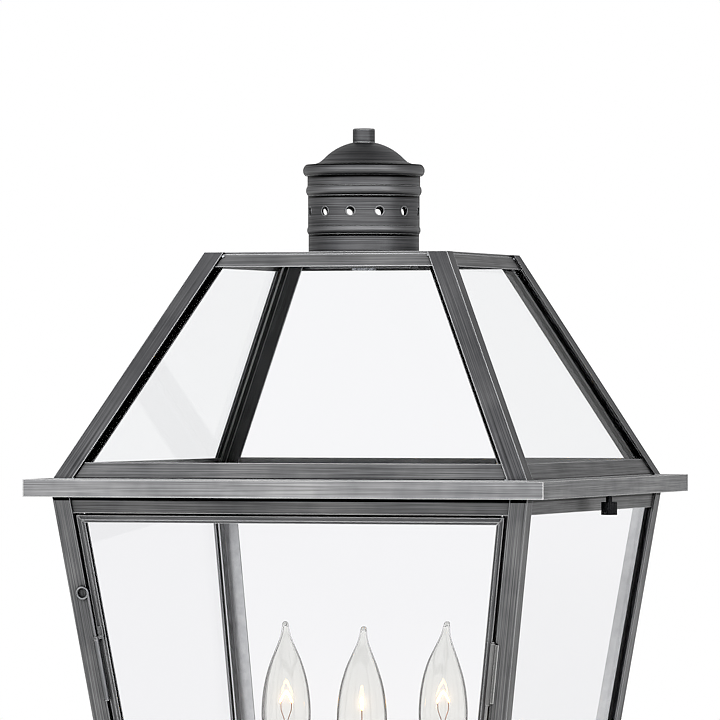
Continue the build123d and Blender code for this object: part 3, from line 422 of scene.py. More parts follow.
# ---- eave and roof frame -------------------------------------
# Folded eave rim, hip bars, rails and top plate, brushed along each bar. The eave's tones are lighter than
# the rest's, a painted sheen for the light that its upright front catches.
eave_zinc_with_sheen = aged_zinc("aged zinc, painted lighter sheen on the eave", "level", "#727273", "#B8B8B9",
                      worn="#EEEEEE")
finish(eave_zinc_with_sheen, "eave_rim")
finish(rail_zinc, "roof_top_rails", "top_plate", "rod_strap")
hip_zinc = aged_zinc("aged zinc, brushed along the hips", "up", "#333334", "#79797B", lean=ROOF_LEAN)
finish(hip_zinc, "hip_bars")
# painted shade along the foot of the base rails, where they stand on the eave; their inner faces take a
# light plain tone
eave_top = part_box("eave_rim")[1].z
finish(aged_zinc("aged zinc, painted shade along the foot", "level", *RAIL_TONES,
                 black=[(eave_top - 0.001, eave_top + 0.0011)], bare="#DCDDDE"), "roof_base_rails")


# ---- chimney, cap and finial ---------------------------------
# Spun from sheet, with rolled beads. The twelve vents were punched from outside, which left a
# thin bright lip round each.
chimney_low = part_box("chimney")[0].z
finish(spun_zinc, "finial")


def up_chimney(*spans):
    """Spans of height above the chimney's foot in millimetres, as heights."""
    return [(chimney_low + low / 1000, chimney_low + high / 1000) for low, high in spans]


# painted shade under and over each bead and under the cap, and a painted highlight on the beads and the
# cap's rim
finish(aged_zinc("aged zinc, black beside the beads", "round", "#29292A", "#838385", nook=SPUN_NOOK,
                 black=up_chimney((-1, 0.8), (11.2, 13.1), (17.9, 18.6), (37.2, 39), (45.2, 46),
                                  (50.8, 52.5)),
                 painted_highlight_bands=up_chimney((13.8, 17.2), (39.8, 44.4))), "chimney")
finish(aged_zinc("aged zinc, painted shade round the dome's foot", "round", "#272728", "#7E7E80", nook=SPUN_NOOK,
                 black=up_chimney((58.8, 60.7)), painted_highlight_bands=up_chimney((53, 57.4))), "chimney_cap")


def new_tree(name, sizes):
    """Geometry node tree with an input for each of these sizes; returns it and its inputs."""
    tree = bpy.data.node_groups.new(name, "GeometryNodeTree")
    tree.interface.new_socket("Geometry", in_out="INPUT", socket_type="NodeSocketGeometry")
    for key, value in sizes.items():
        kind = {int: "Int", float: "Float"}.get(type(value), "Material")
        tree.interface.new_socket(key, in_out="INPUT", socket_type="NodeSocket" + kind)
    tree.interface.new_socket("Geometry", in_out="OUTPUT", socket_type="NodeSocketGeometry")
    return tree, add(tree, "NodeGroupInput").node.outputs


def close_tree(tree, geometry, material):
    """Ends a tree: realized, with its material set."""
    solid = add(tree, "GeometryNodeRealizeInstances", {0: geometry})
    painted = add(tree, "GeometryNodeSetMaterial", {0: solid, "Material": material})
    smooth = add(tree, "GeometryNodeSetShadeSmooth", {0: painted})
    add(tree, "NodeGroupOutput", {0: smooth})


def empty_mesh(name, points=()):
    """A mesh of loose points."""
    mesh = bpy.data.meshes.new(name)
    mesh.from_pydata([tuple(p) for p in points], [], [])
    return mesh


def grown(name, tree, base, sizes):
    """Runs a tree on a base mesh with these sizes and returns the result as a plain piece."""
    holder = bpy.data.objects.new(name, base)
    scene.collection.objects.link(holder)
    modifier = holder.modifiers.new("grow", "NODES")
    modifier.node_group = tree
    sockets = {s.name: s.identifier for s in tree.interface.items_tree if s.in_out == "INPUT"}
    for key, value in sizes.items():
        modifier[sockets[key]] = value
    graph = bpy.context.evaluated_depsgraph_get()
    mesh = bpy.data.meshes.new_from_object(holder.evaluated_get(graph))
    holder.modifiers.remove(modifier)
    holder.data = mesh
    mesh.name = name
    return holder


lip_zinc = aged_zinc("zinc, rubbed lighter where it was punched", "round", "#5A5A5C", "#A2A2A4",
                     worn="#B4B5B7")
vent_sizes = {"Count": 12, "Ring Radius": 0.03755, "Height": chimney_low + 0.0282, "Turn": radians(4),
              "Lip Radius": 0.0031, "Wire": 0.00024, "Material": lip_zinc}
tree, given = new_tree("ring of vent lips", vent_sizes)
ring = add(tree, "GeometryNodeMeshCircle", {"Vertices": given["Count"], "Radius": given["Ring Radius"]})
lip = add(tree, "GeometryNodeCurvePrimitiveCircle",
          {"Resolution": 24, "Radius": given["Lip Radius"]}, mode="RADIUS")
wire = add(tree, "GeometryNodeCurvePrimitiveCircle",
           {"Resolution": 8, "Radius": given["Wire"]}, mode="RADIUS")
tube = add(tree, "GeometryNodeCurveToMesh", {"Curve": lip, "Profile Curve": wire})
spot = add(tree, "GeometryNodeInputPosition")
out = add(tree, "FunctionNodeAlignRotationToVector", {"Vector": spot}, axis="Z")
copies = add(tree, "GeometryNodeInstanceOnPoints", {"Points": ring, "Instance": tube, "Rotation": out})
lift = add(tree, "ShaderNodeCombineXYZ", {2: given["Height"]})
turn = add(tree, "ShaderNodeCombineXYZ", {2: given["Turn"]})
moved = add(tree, "GeometryNodeTransform", {0: copies, "Translation": lift, "Rotation": turn})
close_tree(tree, moved, given["Material"])
vent_lips = grown("vent_lips", tree, empty_mesh("vent_lips"), vent_sizes)
place_piece(vent_lips, lip_zinc, "roof", "brushed_zinc")


# ---- rod, nuts and strap screws ------------------------------
# Turned steel with bright zinc plating: the rod that pulls the cap down, its nut, the lamp cluster's
# stem with its nuts, and the nuts on the eave that the thumb screws enter. They are small pale spots
# in the dark frame, nearly smooth.
bright_zinc = plain_metal("bright zinc plating on turned steel", "#B3B6BC", "#D2D5DA", 0.27, 0.003)
finish(bright_zinc, "chimney_rod", "rod_nut", "strap_screws", "centre_stem", "stem_nuts", "eave_nuts")


# ---- thumb screws --------------------------------------------
# Blackened steel screws with straight-knurled heads that clamp the roof's eave to the lugs. The ridges'
# edges of the oil-blacked finish are painted lighter, a painted sheen.
black_steel, tree = new_material("oil-blacked steel, knurled")
speck_scale = 900.0             # specks of oxide, drawn 1.1 mm apart so that they show
place = add(tree, "ShaderNodeTexCoord", output="Object")
speck = add(tree, "ShaderNodeTexNoise", {"Vector": place, "Scale": speck_scale, "Detail": 3.0})
share = add(tree, "ShaderNodeMapRange", {"Value": speck, "From Min": 0.3, "From Max": 0.7})
tone = add(tree, "ShaderNodeMix",
           {0: share, 6: linear("#0E0E0F"), 7: linear("#2A2A2C")}, 2, data_type="RGBA")
rounded = add(tree, "ShaderNodeBevel", {"Radius": 0.0003}, samples=4)
normal = add(tree, "ShaderNodeNewGeometry", output="Normal")
facing = add(tree, "ShaderNodeVectorMath", {0: rounded, 1: normal}, "Value", operation="DOT_PRODUCT")
# painted sheen: the edges of the ridges are lightened as if they caught the light
edge = add(tree, "ShaderNodeMapRange",
           {"Value": facing, "From Min": 0.98, "From Max": 0.80, "To Max": 0.7})
tone = add(tree, "ShaderNodeMix", {0: edge, 6: tone, 7: linear("#66676A")}, 2, data_type="RGBA")
bump = add(tree, "ShaderNodeBump",
           {"Strength": 0.2, "Distance": 0.00005, "Height": speck, "Normal": rounded})
steel = add(tree, "ShaderNodeBsdfPrincipled",
            {"Base Color": tone, "Metallic": 1.0, "Roughness": 0.34, "Normal": bump})
add(tree, "ShaderNodeOutputMaterial", {0: steel})

HEAD_RADIUS = 0.0054
HEAD_HEIGHT = 0.0087
CHAMFER = 0.0003
RIDGES = 24
RIDGE_DEPTH = 0.00028
NECK_RADIUS = 0.0022
NECK_LENGTH = 0.0050
SHANK_RADIUS = 0.0015
SHANK_LENGTH = 0.010
SCREW_PITCH = 0.0008
THREAD_DEPTH = 0.00016
THREAD_START = 0.0006           # above the shoulder
THREAD_STEP = 0.0001            # between the rings that the thread is drawn with
CRISP = 0.0002                  # from a step to the ring beside it, which keeps its corner sharp


def screw_wave(z, angle):
    """Ridges on the head and a thread on the shank."""
    if head_low + CHAMFER / 2 < z < head_top - CHAMFER / 2:
        return -RIDGE_DEPTH * (0.5 + 0.5 * cos(RIDGES * angle)) ** 0.7
    if z > shoulder + THREAD_START:
        return -THREAD_DEPTH * (0.5 + 0.5 * cos(angle - tau * z / SCREW_PITCH))
    return 0.0


for side in ("right", "left"):
    node = "thumb_screw_" + side
    (x_low, y_low, head_low), (x_high, y_high, screw_top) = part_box(node)
    head_top = head_low + HEAD_HEIGHT
    shoulder = min(screw_top - SHANK_LENGTH, head_top + NECK_LENGTH)
    steps = int((screw_top - shoulder - SCREW_PITCH) / THREAD_STEP)
    profile = [(0.0, head_low), (HEAD_RADIUS - CHAMFER, head_low), (HEAD_RADIUS, head_low + CHAMFER),
               (HEAD_RADIUS, head_top - CHAMFER), (HEAD_RADIUS - CHAMFER, head_top),
               (NECK_RADIUS, head_top), (NECK_RADIUS, head_top + CRISP), (NECK_RADIUS, shoulder - CRISP)]
    profile += [(SHANK_RADIUS, shoulder + THREAD_STEP * i) for i in range(steps)]
    profile += [(0.0011, screw_top), (0.0, screw_top)]
    centre = ((x_low + x_high) / 2, (y_low + y_high) / 2)
    screw = turned(node + "_knurled", profile, (centre,), segments=96, wave=screw_wave)
    place_piece(screw, black_steel, "thumb_" + side, "blackened_screw", node)


# ---- lamp cluster --------------------------------------------
# A turned hub on the stem with three bent tube arms, each with a dished cup that catches drips
# and carries a candle. Brushed and darkened like the frame.
LAMP_RING = 0.0615
LAMP_TURN = (-73.3, 46.7, 166.7)
lamps = [(LAMP_RING * cos(radians(a)), LAMP_RING * sin(radians(a))) for a in LAMP_TURN]
finish(spun_zinc, "cluster_hub", "hub_cap_nut", "cluster_arms")
cup_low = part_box("candle_cups")[0].z
cup = (outline(cup_low, [(0, 0), (11.2, 0)])
       + fair(outline(cup_low, [(11.5, 0), (15.2, 2.1), (16.6, 4.4), (17, 6)]))
       + outline(cup_low, [(15.8, 6)])
       + fair(outline(cup_low, [(15.7, 5.8), (13.8, 2.8), (12, 1.6)]))
       + outline(cup_low, [(0, 1.6)]))
cups = turned("candle_cups_spun", cup, lamps)
place_piece(cups, spun_zinc, "lantern_body", "brushed_zinc", "candle_cups")


# ---- candle sleeves and sockets ------------------------------
# Ivory card tubes over black moulded sockets. The card has a slight satin skin and has yellowed
# towards the lamp's heat; the moulding has a faint swirl where the resin flowed.
ivory, tree = new_material("ivory card tube, satin")
fibres = (700.0, 700.0, 90.0)   # the card's fibres, drawn 1.4 mm wide and 11 mm long so that they show
place = add(tree, "ShaderNodeTexCoord", output="Object")
height = add(tree, "ShaderNodeSeparateXYZ", {0: place}, "Z")
fibre = add(tree, "ShaderNodeVectorMath", {0: place, 1: fibres}, operation="MULTIPLY")
fibre = add(tree, "ShaderNodeTexNoise", {"Vector": fibre, "Scale": 1.0, "Detail": 3.0})
low, high = 0.15, 0.223         # the heights between which the card yellows
heat = add(tree, "ShaderNodeMapRange", {"Value": height, "From Min": low, "From Max": high})
card = add(tree, "ShaderNodeMix",
           {0: heat, 6: linear("#EFE9D8"), 7: linear("#E3D6B4")}, 2, data_type="RGBA")
flecks = add(tree, "ShaderNodeMix",
             {0: fibre, 6: linear("#E6E3DC"), 7: linear("#FFFFFF")}, 2, data_type="RGBA")
card = add(tree, "ShaderNodeMix", {0: 1.0, 6: card, 7: flecks}, 2, data_type="RGBA", blend_type="MULTIPLY")
bump = add(tree, "ShaderNodeBump", {"Strength": 0.15, "Distance": 0.0001, "Height": fibre})
paper = add(tree, "ShaderNodeBsdfPrincipled",
            {"Base Color": card, "Roughness": 0.46, "IOR": 1.47, "Normal": bump})
add(tree, "ShaderNodeOutputMaterial", {0: paper})
finish(ivory, "candle_sleeves")

phenolic, tree = new_material("black phenolic moulding")
swirl_scale = 320.0             # the resin's swirls are about 3 mm wide
place = add(tree, "ShaderNodeTexCoord", output="Object")
swirl = add(tree, "ShaderNodeTexNoise", {"Vector": place, "Scale": swirl_scale, "Detail": 4.0})
tone = add(tree, "ShaderNodeMix",
           {0: swirl, 6: linear("#0D0C0B"), 7: linear("#262321")}, 2, data_type="RGBA")
gloss = add(tree, "ShaderNodeMapRange", {"Value": swirl, "To Min": 0.30, "To Max": 0.46})
bump = add(tree, "ShaderNodeBump", {"Strength": 0.12, "Distance": 0.0001, "Height": swirl})
resin = add(tree, "ShaderNodeBsdfPrincipled",
            {"Base Color": tone, "Roughness": gloss, "IOR": 1.6, "Normal": bump})
add(tree, "ShaderNodeOutputMaterial", {0: resin})
finish(phenolic, "lamp_sockets")


# ---- lamps ---------------------------------------------------
# Clear candelabra lamps with a drawn flame tip. The glass is blown from tube, so its tip was
# pinched off in the flame and leans, most on two of them. A rolled brass screw shell holds it.
brass = plain_metal("rolled brass", "#B08D4C", "#CDAA66", 0.28, 0.004)
base_low, base_high = (corner.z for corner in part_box("bulb_bases"))
SHELL_PITCH = 0.00282
SHELL_DEPTH = 0.0004


def shell_wave(z, angle):
    """Rounded thread, faded out over a millimetre at the contact and at the rim."""
    starts, ends = z - base_low - 0.0045, base_high - 0.004 - z
    fade = min(1.0, max(0.0, starts / 0.001), max(0.0, ends / 0.001))
    return -SHELL_DEPTH * fade * (1 + cos(angle - tau * z / SHELL_PITCH))


shell = outline(base_low, [(0, 0), (2, 0), (2.6, 0.4), (5.6, 3.2), (6, 4)]
                + [(6, 4.0 + 0.3 * i) for i in range(1, 59)])
shell += outline(base_high, [(6, -0.2), (5.7, 0), (0, 0)])
bases = turned("bulb_bases_threaded", shell, lamps, segments=40, wave=shell_wave)
place_piece(bases, brass, "lantern_body", "brass", "bulb_bases")

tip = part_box("bulb_glass")[1].z
WALL = 0.0007
SOLID_TIP = 0.0030                          # where the glass closed as it was drawn off
LEAN_OUT = (0.0013, 0.0028, -0.0006)        # how far each tip leans to the right of the camera
LEAN_LENGTH = 0.030                         # how much of the glass below the tip leans with it
CAMERA_AZIMUTH = radians(17.84)             # to the right of straight before the door


def tip_lean(number, z):
    """Shift of a lamp's axis at this height."""
    share = max(0.0, (z - tip + LEAN_LENGTH) / LEAN_LENGTH)
    shift = LEAN_OUT[number] * share ** 1.5
    return shift * cos(CAMERA_AZIMUTH), shift * sin(CAMERA_AZIMUTH)


flame = [(1.5, -0.5), (2, -1.4), (2.3, -3), (2.7, -6), (3.5, -9.5), (4.7, -13), (6.4, -17),
         (8.1, -21), (10, -25.5), (11.9, -31), (13.9, -38), (15.4, -45.5), (16.3, -53),
         (16.75, -61), (16.4, -70), (14.7, -79), (11.9, -87), (8.4, -93.5), (6.3, -97.5),
         (5.8, -99.8)]
outside = fair(outline(tip, flame), 5)
inside = [(max(r - WALL, 0.0003), z) for r, z in reversed(outside) if z < tip - SOLID_TIP]
blown = outline(tip, [(0, 0), (0.9, -0.1)]) + outside + inside + outline(tip, [(0, -2.6)])
bulbs = turned("bulb_glass_blown", blown, lamps, segments=72, lean=tip_lean)
# painted shade: towards its outline, where the thin wall is seen edge on, its colour turns dark, standing
# in for the dark that it refracts and reflects there; it is clear elsewhere
LAMP_ROLL = (60.0, 0.0006)                  # waves about 17 mm apart
PAINTED_OUTLINE = (0.62, 0.705)                     # how glancing the view is where the dark begins and ends
lamp_glass = clear_glass("clear blown lamp glass", "#F9F9F7", "#040404", *LAMP_ROLL, 1.5, PAINTED_OUTLINE)
place_piece(bulbs, lamp_glass, "lantern_body", "bulb_glass", "bulb_glass")


# ---- lamp stems, leads and filaments -------------------------
# A flared lead-glass stem seals each lamp and carries two copper-clad leads, which hold a coiled
# tungsten filament. Lit, the coil is a small white-yellow glow.
stem_low, stem_high = (corner.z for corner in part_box("bulb_mounts"))
stem = fair(outline(stem_low, [(4.2, 0), (3, 3), (2.2, 8)])
            + outline((stem_low + stem_high) / 2, [(1.9, 0)])
            + outline(stem_high, [(1.6, -2), (1.2, -0.4)]))
stems = turned("lamp_stems", [(0.0, stem_low)] + stem + [(0.0, stem_high)], lamps, segments=24)
STEM_ROLL = (90.0, 0.0004)      # waves about 11 mm apart
# painted shade: the stem's colour darkens towards its outline, as the lamps' does
stem_glass = clear_glass("lead glass of the lamp stem", "#ECECEE", "#7C7A78", *STEM_ROLL, 1.4,
                         (0.5, 0.95))
place_piece(stems, stem_glass, "lantern_body", "bulb_glass", "bulb_mounts")

tungsten, tree = new_material("lit tungsten coil")
flicker_scale = 1500.0          # hotter and cooler spots, 0.7 mm apart
place = add(tree, "ShaderNodeTexCoord", output="Object")
flicker = add(tree, "ShaderNodeTexNoise", {"Vector": place, "Scale": flicker_scale, "Detail": 2.0})
glow = add(tree, "ShaderNodeMix",
           {0: flicker, 6: linear("#FFB348"), 7: linear("#FFD98C")}, 2, data_type="RGBA")
wire = add(tree, "ShaderNodeBsdfPrincipled",
           {"Base Color": linear("#8A8680"), "Metallic": 1.0, "Roughness": 0.4, "Emission Color": glow,
            "Emission Strength": 12.0})
add(tree, "ShaderNodeOutputMaterial", {0: wire})

# each coil is laid level, turned as its lamp is, and arched up in its middle
coil_sizes = {"Turns": 26.0, "Coil Radius": 0.00085, "Length": 0.0092, "Rise": 0.0065,
              "Wire": 0.00020, "Material": tungsten}
tree, given = new_tree("coiled filaments", coil_sizes)
spiral = add(tree, "GeometryNodeCurveSpiral",
             {"Resolution": 8, "Rotations": given["Turns"], "Start Radius": given["Coil Radius"],
              "End Radius": given["Coil Radius"], "Height": given["Length"]})
wire = add(tree, "GeometryNodeCurvePrimitiveCircle",
           {"Resolution": 5, "Radius": given["Wire"]}, mode="RADIUS")
coil = add(tree, "GeometryNodeCurveToMesh", {"Curve": spiral, "Profile Curve": wire, "Fill Caps": True})
half = add(tree, "ShaderNodeMath", {0: given["Length"], 1: -0.5}, operation="MULTIPLY")
back = add(tree, "ShaderNodeCombineXYZ", {2: half})
centred = add(tree, "GeometryNodeTransform", {0: coil, "Translation": back})
laid = add(tree, "GeometryNodeTransform", {0: centred, "Rotation": (0.0, pi / 2, 0.0)})
own_turn = add(tree, "GeometryNodeInputNamedAttribute", {"Name": "turn"}, data_type="FLOAT")
own_turn = add(tree, "ShaderNodeCombineXYZ", {2: own_turn})
base_points = add(tree, "GeometryNodeMeshToPoints", {0: given["Geometry"]})
spot = add(tree, "GeometryNodeInputPosition")
along = add(tree, "ShaderNodeSeparateXYZ", {0: spot})
share = add(tree, "ShaderNodeMath", {0: along, 1: half}, operation="DIVIDE")
share = add(tree, "ShaderNodeMath", {0: share}, operation="ABSOLUTE")
share = add(tree, "ShaderNodeMath", {0: share, 1: 1.4}, operation="POWER")
share = add(tree, "ShaderNodeMath", {0: 1.0, 1: share}, operation="SUBTRACT")
climb = add(tree, "ShaderNodeMath", {0: share, 1: given["Rise"]}, operation="MULTIPLY")
climb = add(tree, "ShaderNodeCombineXYZ", {2: climb})
arched = add(tree, "GeometryNodeSetPosition", {0: laid, "Offset": climb})
copies = add(tree, "GeometryNodeInstanceOnPoints",
             {"Points": base_points, "Instance": arched, "Rotation": own_turn})
close_tree(tree, copies, given["Material"])
coil_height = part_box("bulb_filaments")[1].z - 0.0008
points = empty_mesh("coils", [(x, y, coil_height) for x, y in lamps])
turns = points.attributes.new("turn", "FLOAT", "POINT")
for number, angle in enumerate(LAMP_TURN):
    turns.data[number].value = radians(angle)
coils = grown("lamp_filaments_coiled", tree, points, coil_sizes)
place_piece(coils, tungsten, "lantern_body", "filament", "bulb_filaments")


def rods(name, routes, radius):
    """Round wires along lists of points."""
    sides = 8
    shape = bmesh.new()
    for route in routes:
        rings = []
        for i, point in enumerate(route):
            ahead = (route[min(i + 1, len(route) - 1)] - route[max(i - 1, 0)]).normalized()
            across = across - ahead * across.dot(ahead) if rings else ahead.orthogonal()
            across = across.normalized()
            up = ahead.cross(across)
            spokes = [across * cos(tau * s / sides) + up * sin(tau * s / sides) for s in range(sides)]
            rings.append([shape.verts.new(point + spoke * radius) for spoke in spokes])
        for low, high in zip(rings, rings[1:]):
            for s in range(sides):
                shape.faces.new((low[s], low[(s + 1) % sides], high[(s + 1) % sides], high[s]))
        shape.faces.new(rings[0][::-1])
        shape.faces.new(rings[-1])
    return finished(name, shape)


# the leads spread from the stem's head to the coil's ends; their copper skin gives them a warm tone
copper = plain_metal("copper-clad lead wire", "#9A5B3A", "#C27B50", 0.32, 0.001)
LEAD_RADIUS = 0.00026
BENDS = ((0.0008, 0.0), (0.0016, 0.0045), (0.0040, 0.0105))     # from the axis, above the stem's head
COIL_END = 0.0043                                               # from the axis
routes = []
for (x, y), angle in zip(lamps, LAMP_TURN):
    across = Vector((cos(radians(angle)), sin(radians(angle)), 0))
    foot, head = Vector((x, y, stem_high - 0.0010)), Vector((x, y, coil_height))
    for side in (-1, 1):
        route = [foot + across * side * out + Vector((0, 0, rise)) for out, rise in BENDS]
        routes.append(route + [head + across * side * COIL_END])
leads = rods("lamp_leads", routes, LEAD_RADIUS)
place_piece(leads, copper, "lantern_body", "filament")


# ---- solder --------------------------------------------------
# Small beads of tin solder where bars meet, at the hips' feet and heads, and beside the latch
# barrel. Each was run in with an iron, so no two are alike, and they have dulled to a soft grey.
solder = plain_metal("tin solder, dulled", "#8E9093", "#B9BBBE", 0.34, 0.0012, 0.0002)
lump_scale = 900.0              # the beads' lumps are about 1 mm wide
bead_sizes = {"Size": 0.0012, "Flatness": 0.42, "Lumps": 0.0005, "Seed": 7, "Material": solder}
tree, given = new_tree("solder beads", bead_sizes)
ball = add(tree, "GeometryNodeMeshIcoSphere", {"Radius": 1.0, "Subdivisions": 3})
own_size = add(tree, "FunctionNodeRandomValue",
               {2: 0.7, 3: 1.15, "Seed": given["Seed"]}, 1, data_type="FLOAT")
wide = add(tree, "ShaderNodeMath", {0: own_size, 1: given["Size"]}, operation="MULTIPLY")
thin = add(tree, "ShaderNodeMath", {0: wide, 1: given["Flatness"]}, operation="MULTIPLY")
scale = add(tree, "ShaderNodeCombineXYZ", {0: wide, 1: wide, 2: thin})
own_turn = add(tree, "FunctionNodeRandomValue",
               {2: 0.0, 3: tau, "Seed": given["Seed"]}, 1, data_type="FLOAT")
facing = add(tree, "GeometryNodeInputNamedAttribute", {"Name": "facing"}, data_type="FLOAT_VECTOR")
out = add(tree, "FunctionNodeAlignRotationToVector", {"Vector": facing}, axis="Z")
own_turn = add(tree, "ShaderNodeCombineXYZ", {2: own_turn})
spin = add(tree, "FunctionNodeRotateRotation", {0: out, 1: own_turn}, rotation_space="LOCAL")
spots = add(tree, "GeometryNodeMeshToPoints", {0: given["Geometry"]})
copies = add(tree, "GeometryNodeInstanceOnPoints",
             {"Points": spots, "Instance": ball, "Rotation": spin, "Scale": scale})
solid = add(tree, "GeometryNodeRealizeInstances", {0: copies})
where = add(tree, "GeometryNodeInputPosition")
lump = add(tree, "ShaderNodeTexNoise", {"Vector": where, "Scale": lump_scale, "Detail": 1.0})
lump = add(tree, "ShaderNodeMath", {0: lump, 1: -0.5}, operation="ADD")
lump = add(tree, "ShaderNodeMath", {0: lump, 1: given["Lumps"]}, operation="MULTIPLY")
away = add(tree, "GeometryNodeInputNormal")
push = add(tree, "ShaderNodeVectorMath", {0: away, "Scale": lump}, operation="SCALE")
shaped = add(tree, "GeometryNodeSetPosition", {0: solid, "Offset": push})
close_tree(tree, shaped, given["Material"])
bead_tree = tree


def beads(name, body, size, spots):
    """Solder beads at (point, facing) pairs."""
    base = empty_mesh(name, [point for point, facing in spots])
    towards = base.attributes.new("facing", "FLOAT_VECTOR", "POINT")
    for number, (point, facing) in enumerate(spots):
        towards.data[number].vector = facing
    piece = grown(name, bead_tree, base, bead_sizes | {"Size": size})
    place_piece(piece, solder, body, "brushed_zinc")


def corners(x, y, z, facing):
    """The same spot at both ends of all four sides, with the way that it faces."""
    for quarter in range(4):
        spin = Matrix.Rotation(quarter * pi / 2, 3, "Z")
        for mirror in (1, -1):
            yield (spin @ Vector((x * mirror, y, z)),
                   spin @ Vector((facing[0] * mirror, facing[1], facing[2])))


HIP_RISE = 0.1475
foot_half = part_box("hip_bars")[1].x
head_half = foot_half + ROOF_LEAN * HIP_RISE
roof_face = (0.0, -1.0, 0.5)
hip_feet = corners(foot_half - 0.0146, -foot_half - 0.0002, eave_top + 0.0001, roof_face)
hip_heads = corners(head_half - 0.0143, -head_half + 0.0014, eave_top + HIP_RISE, roof_face)
beads("solder_at_hips", "roof", 0.0012, list(hip_feet) + list(hip_heads))

barrel_low, barrel_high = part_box("latch_barrel")
beads("solder_at_latch", "lantern_body", 0.0013,
      [(Vector((barrel_low.x + 0.0022, barrel_low.y + 0.0030, barrel_high.z - 0.0012)), (-0.5, -1.0, 0.2))])


# ---- stage ---------------------------------------------------
# Pale floor and even white surroundings, brighter in front of the door and a little behind it, as
# wide soft lights are, with a narrow one on the right. The camera is the photo's.
CAMERA_DISTANCE = 4.401
CAMERA_HEIGHT = 0.4862
camera = bpy.data.objects.new("camera", bpy.data.cameras.new("camera"))
scene.collection.objects.link(camera)
scene.camera = camera
camera.location = (sin(CAMERA_AZIMUTH) * CAMERA_DISTANCE, -cos(CAMERA_AZIMUTH) * CAMERA_DISTANCE,
                   CAMERA_HEIGHT)
camera.rotation_euler = (pi / 2, 0, CAMERA_AZIMUTH)
camera.data.lens = 326.7
camera.data.sensor_width = 36.0
camera.data.shift_x = -0.00535
camera.data.shift_y = 0.0297
camera.data.clip_end = 60.0

FLOOR_RADIUS = 4.8
floor_shape = bmesh.new()
bmesh.ops.create_circle(floor_shape, cap_ends=True, segments=96, radius=FLOOR_RADIUS)
floor_mesh = bpy.data.meshes.new("floor")
floor_shape.to_mesh(floor_mesh)
floor_shape.free()
floor = bpy.data.objects.new("floor", floor_mesh)
scene.collection.objects.link(floor)
floor_paint, tree = new_material("pale matt floor")
matt = add(tree, "ShaderNodeBsdfPrincipled", {"Base Color": linear("#F2F2F0"), "Roughness": 0.9})
# far out it turns as bright as the surroundings, so that no horizon shows
place = add(tree, "ShaderNodeTexCoord", output="Object")
reach = add(tree, "ShaderNodeVectorMath", {0: place}, "Value", operation="LENGTH")
far = add(tree, "ShaderNodeMapRange",
          {"Value": reach, "From Min": 1.9, "From Max": 4.6}, interpolation_type="SMOOTHSTEP")
lit = add(tree, "ShaderNodeEmission", {"Strength": 1.0})
mixed = add(tree, "ShaderNodeMixShader", {0: far, 1: matt, 2: lit})
add(tree, "ShaderNodeOutputMaterial", {0: mixed})
floor.data.materials.append(floor_paint)

# two wide soft lights: azimuth and elevation in degrees, how far each spreads, and its power
SOFT_LIGHTS = ((2, 18, 0.10, 1.32), (175, 10, 0.30, 0.10))
EVEN_LIGHT = 0.50
world = bpy.data.worlds.new("white surroundings")
scene.world = world
world.use_nodes = True
tree = world.node_tree
tree.nodes.clear()
towards = add(tree, "ShaderNodeTexCoord", output="Generated")
lobes = []
for azimuth, elevation, spread, power in SOFT_LIGHTS:
    a, e = radians(azimuth), radians(elevation)
    lobe = add(tree, "ShaderNodeVectorMath",
               {0: towards, 1: (sin(a) * cos(e), -cos(a) * cos(e), sin(e))},
               "Value", operation="DOT_PRODUCT")
    lobe = add(tree, "ShaderNodeMapRange",
               {"Value": lobe, "From Min": spread, "From Max": 1.0, "To Max": power},
               interpolation_type="SMOOTHSTEP")
    lobes.append(lobe)
light = add(tree, "ShaderNodeMath", {0: lobes[0], 1: lobes[1]}, operation="ADD")
light = add(tree, "ShaderNodeMath", {0: light, 1: EVEN_LIGHT}, operation="ADD")
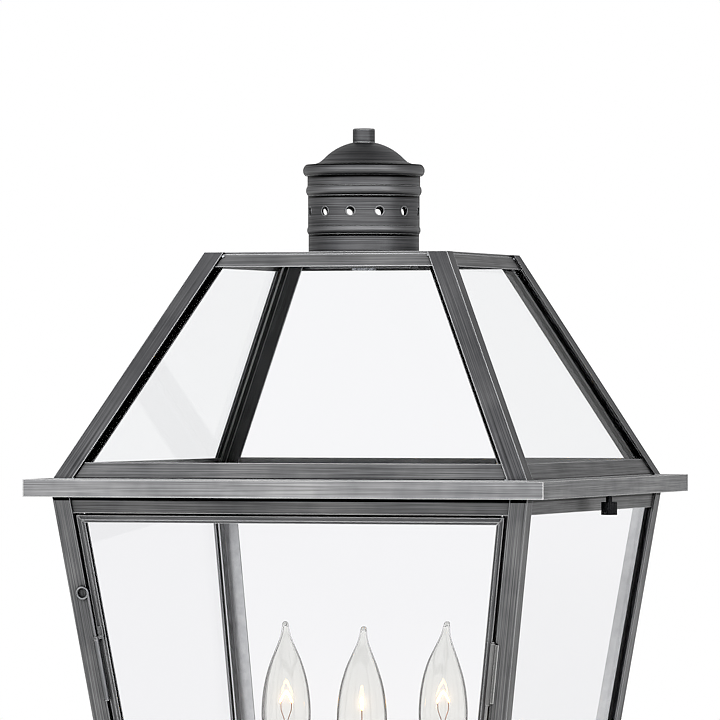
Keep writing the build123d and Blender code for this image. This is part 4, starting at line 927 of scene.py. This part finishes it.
# a tall narrow soft light on the right draws the bright line on what is round
STRIP_AZIMUTH = 66
STRIP_POWER = 2.6
a = radians(STRIP_AZIMUTH)
aside = add(tree, "ShaderNodeVectorMath",
            {0: towards, 1: (cos(a), sin(a), 0.0)}, "Value", operation="DOT_PRODUCT")
aside = add(tree, "ShaderNodeMath", {0: aside}, operation="ABSOLUTE")
ahead = add(tree, "ShaderNodeVectorMath",
            {0: towards, 1: (sin(a), -cos(a), 0.0)}, "Value", operation="DOT_PRODUCT")
ahead = add(tree, "ShaderNodeMath", {0: ahead, 1: 0.6}, operation="GREATER_THAN")
strip = add(tree, "ShaderNodeMapRange",
            {"Value": aside, "From Min": 0.10, "From Max": 0.06, "To Max": STRIP_POWER})
strip = add(tree, "ShaderNodeMath", {0: strip, 1: ahead}, operation="MULTIPLY")
light = add(tree, "ShaderNodeMath", {0: light, 1: strip}, operation="ADD")
up = add(tree, "ShaderNodeSeparateXYZ", {0: towards}, "Z")
overhead = add(tree, "ShaderNodeMapRange",
               {"Value": up, "From Min": 0.84, "From Max": 0.96, "To Min": 1.0, "To Max": 0.22})
light = add(tree, "ShaderNodeMath", {0: light, 1: overhead}, operation="MULTIPLY")
# the camera sees the surroundings plain white, also through the glass
path = add(tree, "ShaderNodeLightPath").node.outputs
seen = add(tree, "ShaderNodeMath",
           {0: path["Is Camera Ray"], 1: path["Is Transmission Ray"]}, operation="MAXIMUM")
strength = add(tree, "ShaderNodeMix", {0: seen, 2: light, 3: 1.0})
sky = add(tree, "ShaderNodeBackground", {"Color": (1.0, 1.0, 1.0, 1.0), "Strength": strength})
add(tree, "ShaderNodeOutputWorld", {0: sky})

scene.view_settings.view_transform = "Standard"

# the lit filaments dazzle a little: only what is brighter than white glows into its surroundings
scene.use_nodes = True
tree = scene.node_tree
tree.nodes.clear()
picture = add(tree, "CompositorNodeRLayers")
glare = add(tree, "CompositorNodeGlare",
            {"Image": picture, "Threshold": 1.6, "Strength": 1.0, "Size": 0.35},
            glare_type="BLOOM", quality="HIGH")
# and the photo's crispness: a light sharpening, done on display tones; the mixes only clip
DISPLAY_GAMMA = 2.2
shown = add(tree, "CompositorNodeMixRGB", {0: 0.0, 1: glare}, use_clamp=True)
shown = add(tree, "CompositorNodeGamma", {0: shown, 1: 1 / DISPLAY_GAMMA})
crisp = add(tree, "CompositorNodeFilter", {"Fac": 0.26, "Image": shown}, filter_type="SHARPEN_DIAMOND")
crisp = add(tree, "CompositorNodeMixRGB", {0: 0.0, 1: crisp}, use_clamp=True)
crisp = add(tree, "CompositorNodeGamma", {0: crisp, 1: DISPLAY_GAMMA})
add(tree, "CompositorNodeComposite", {0: crisp})
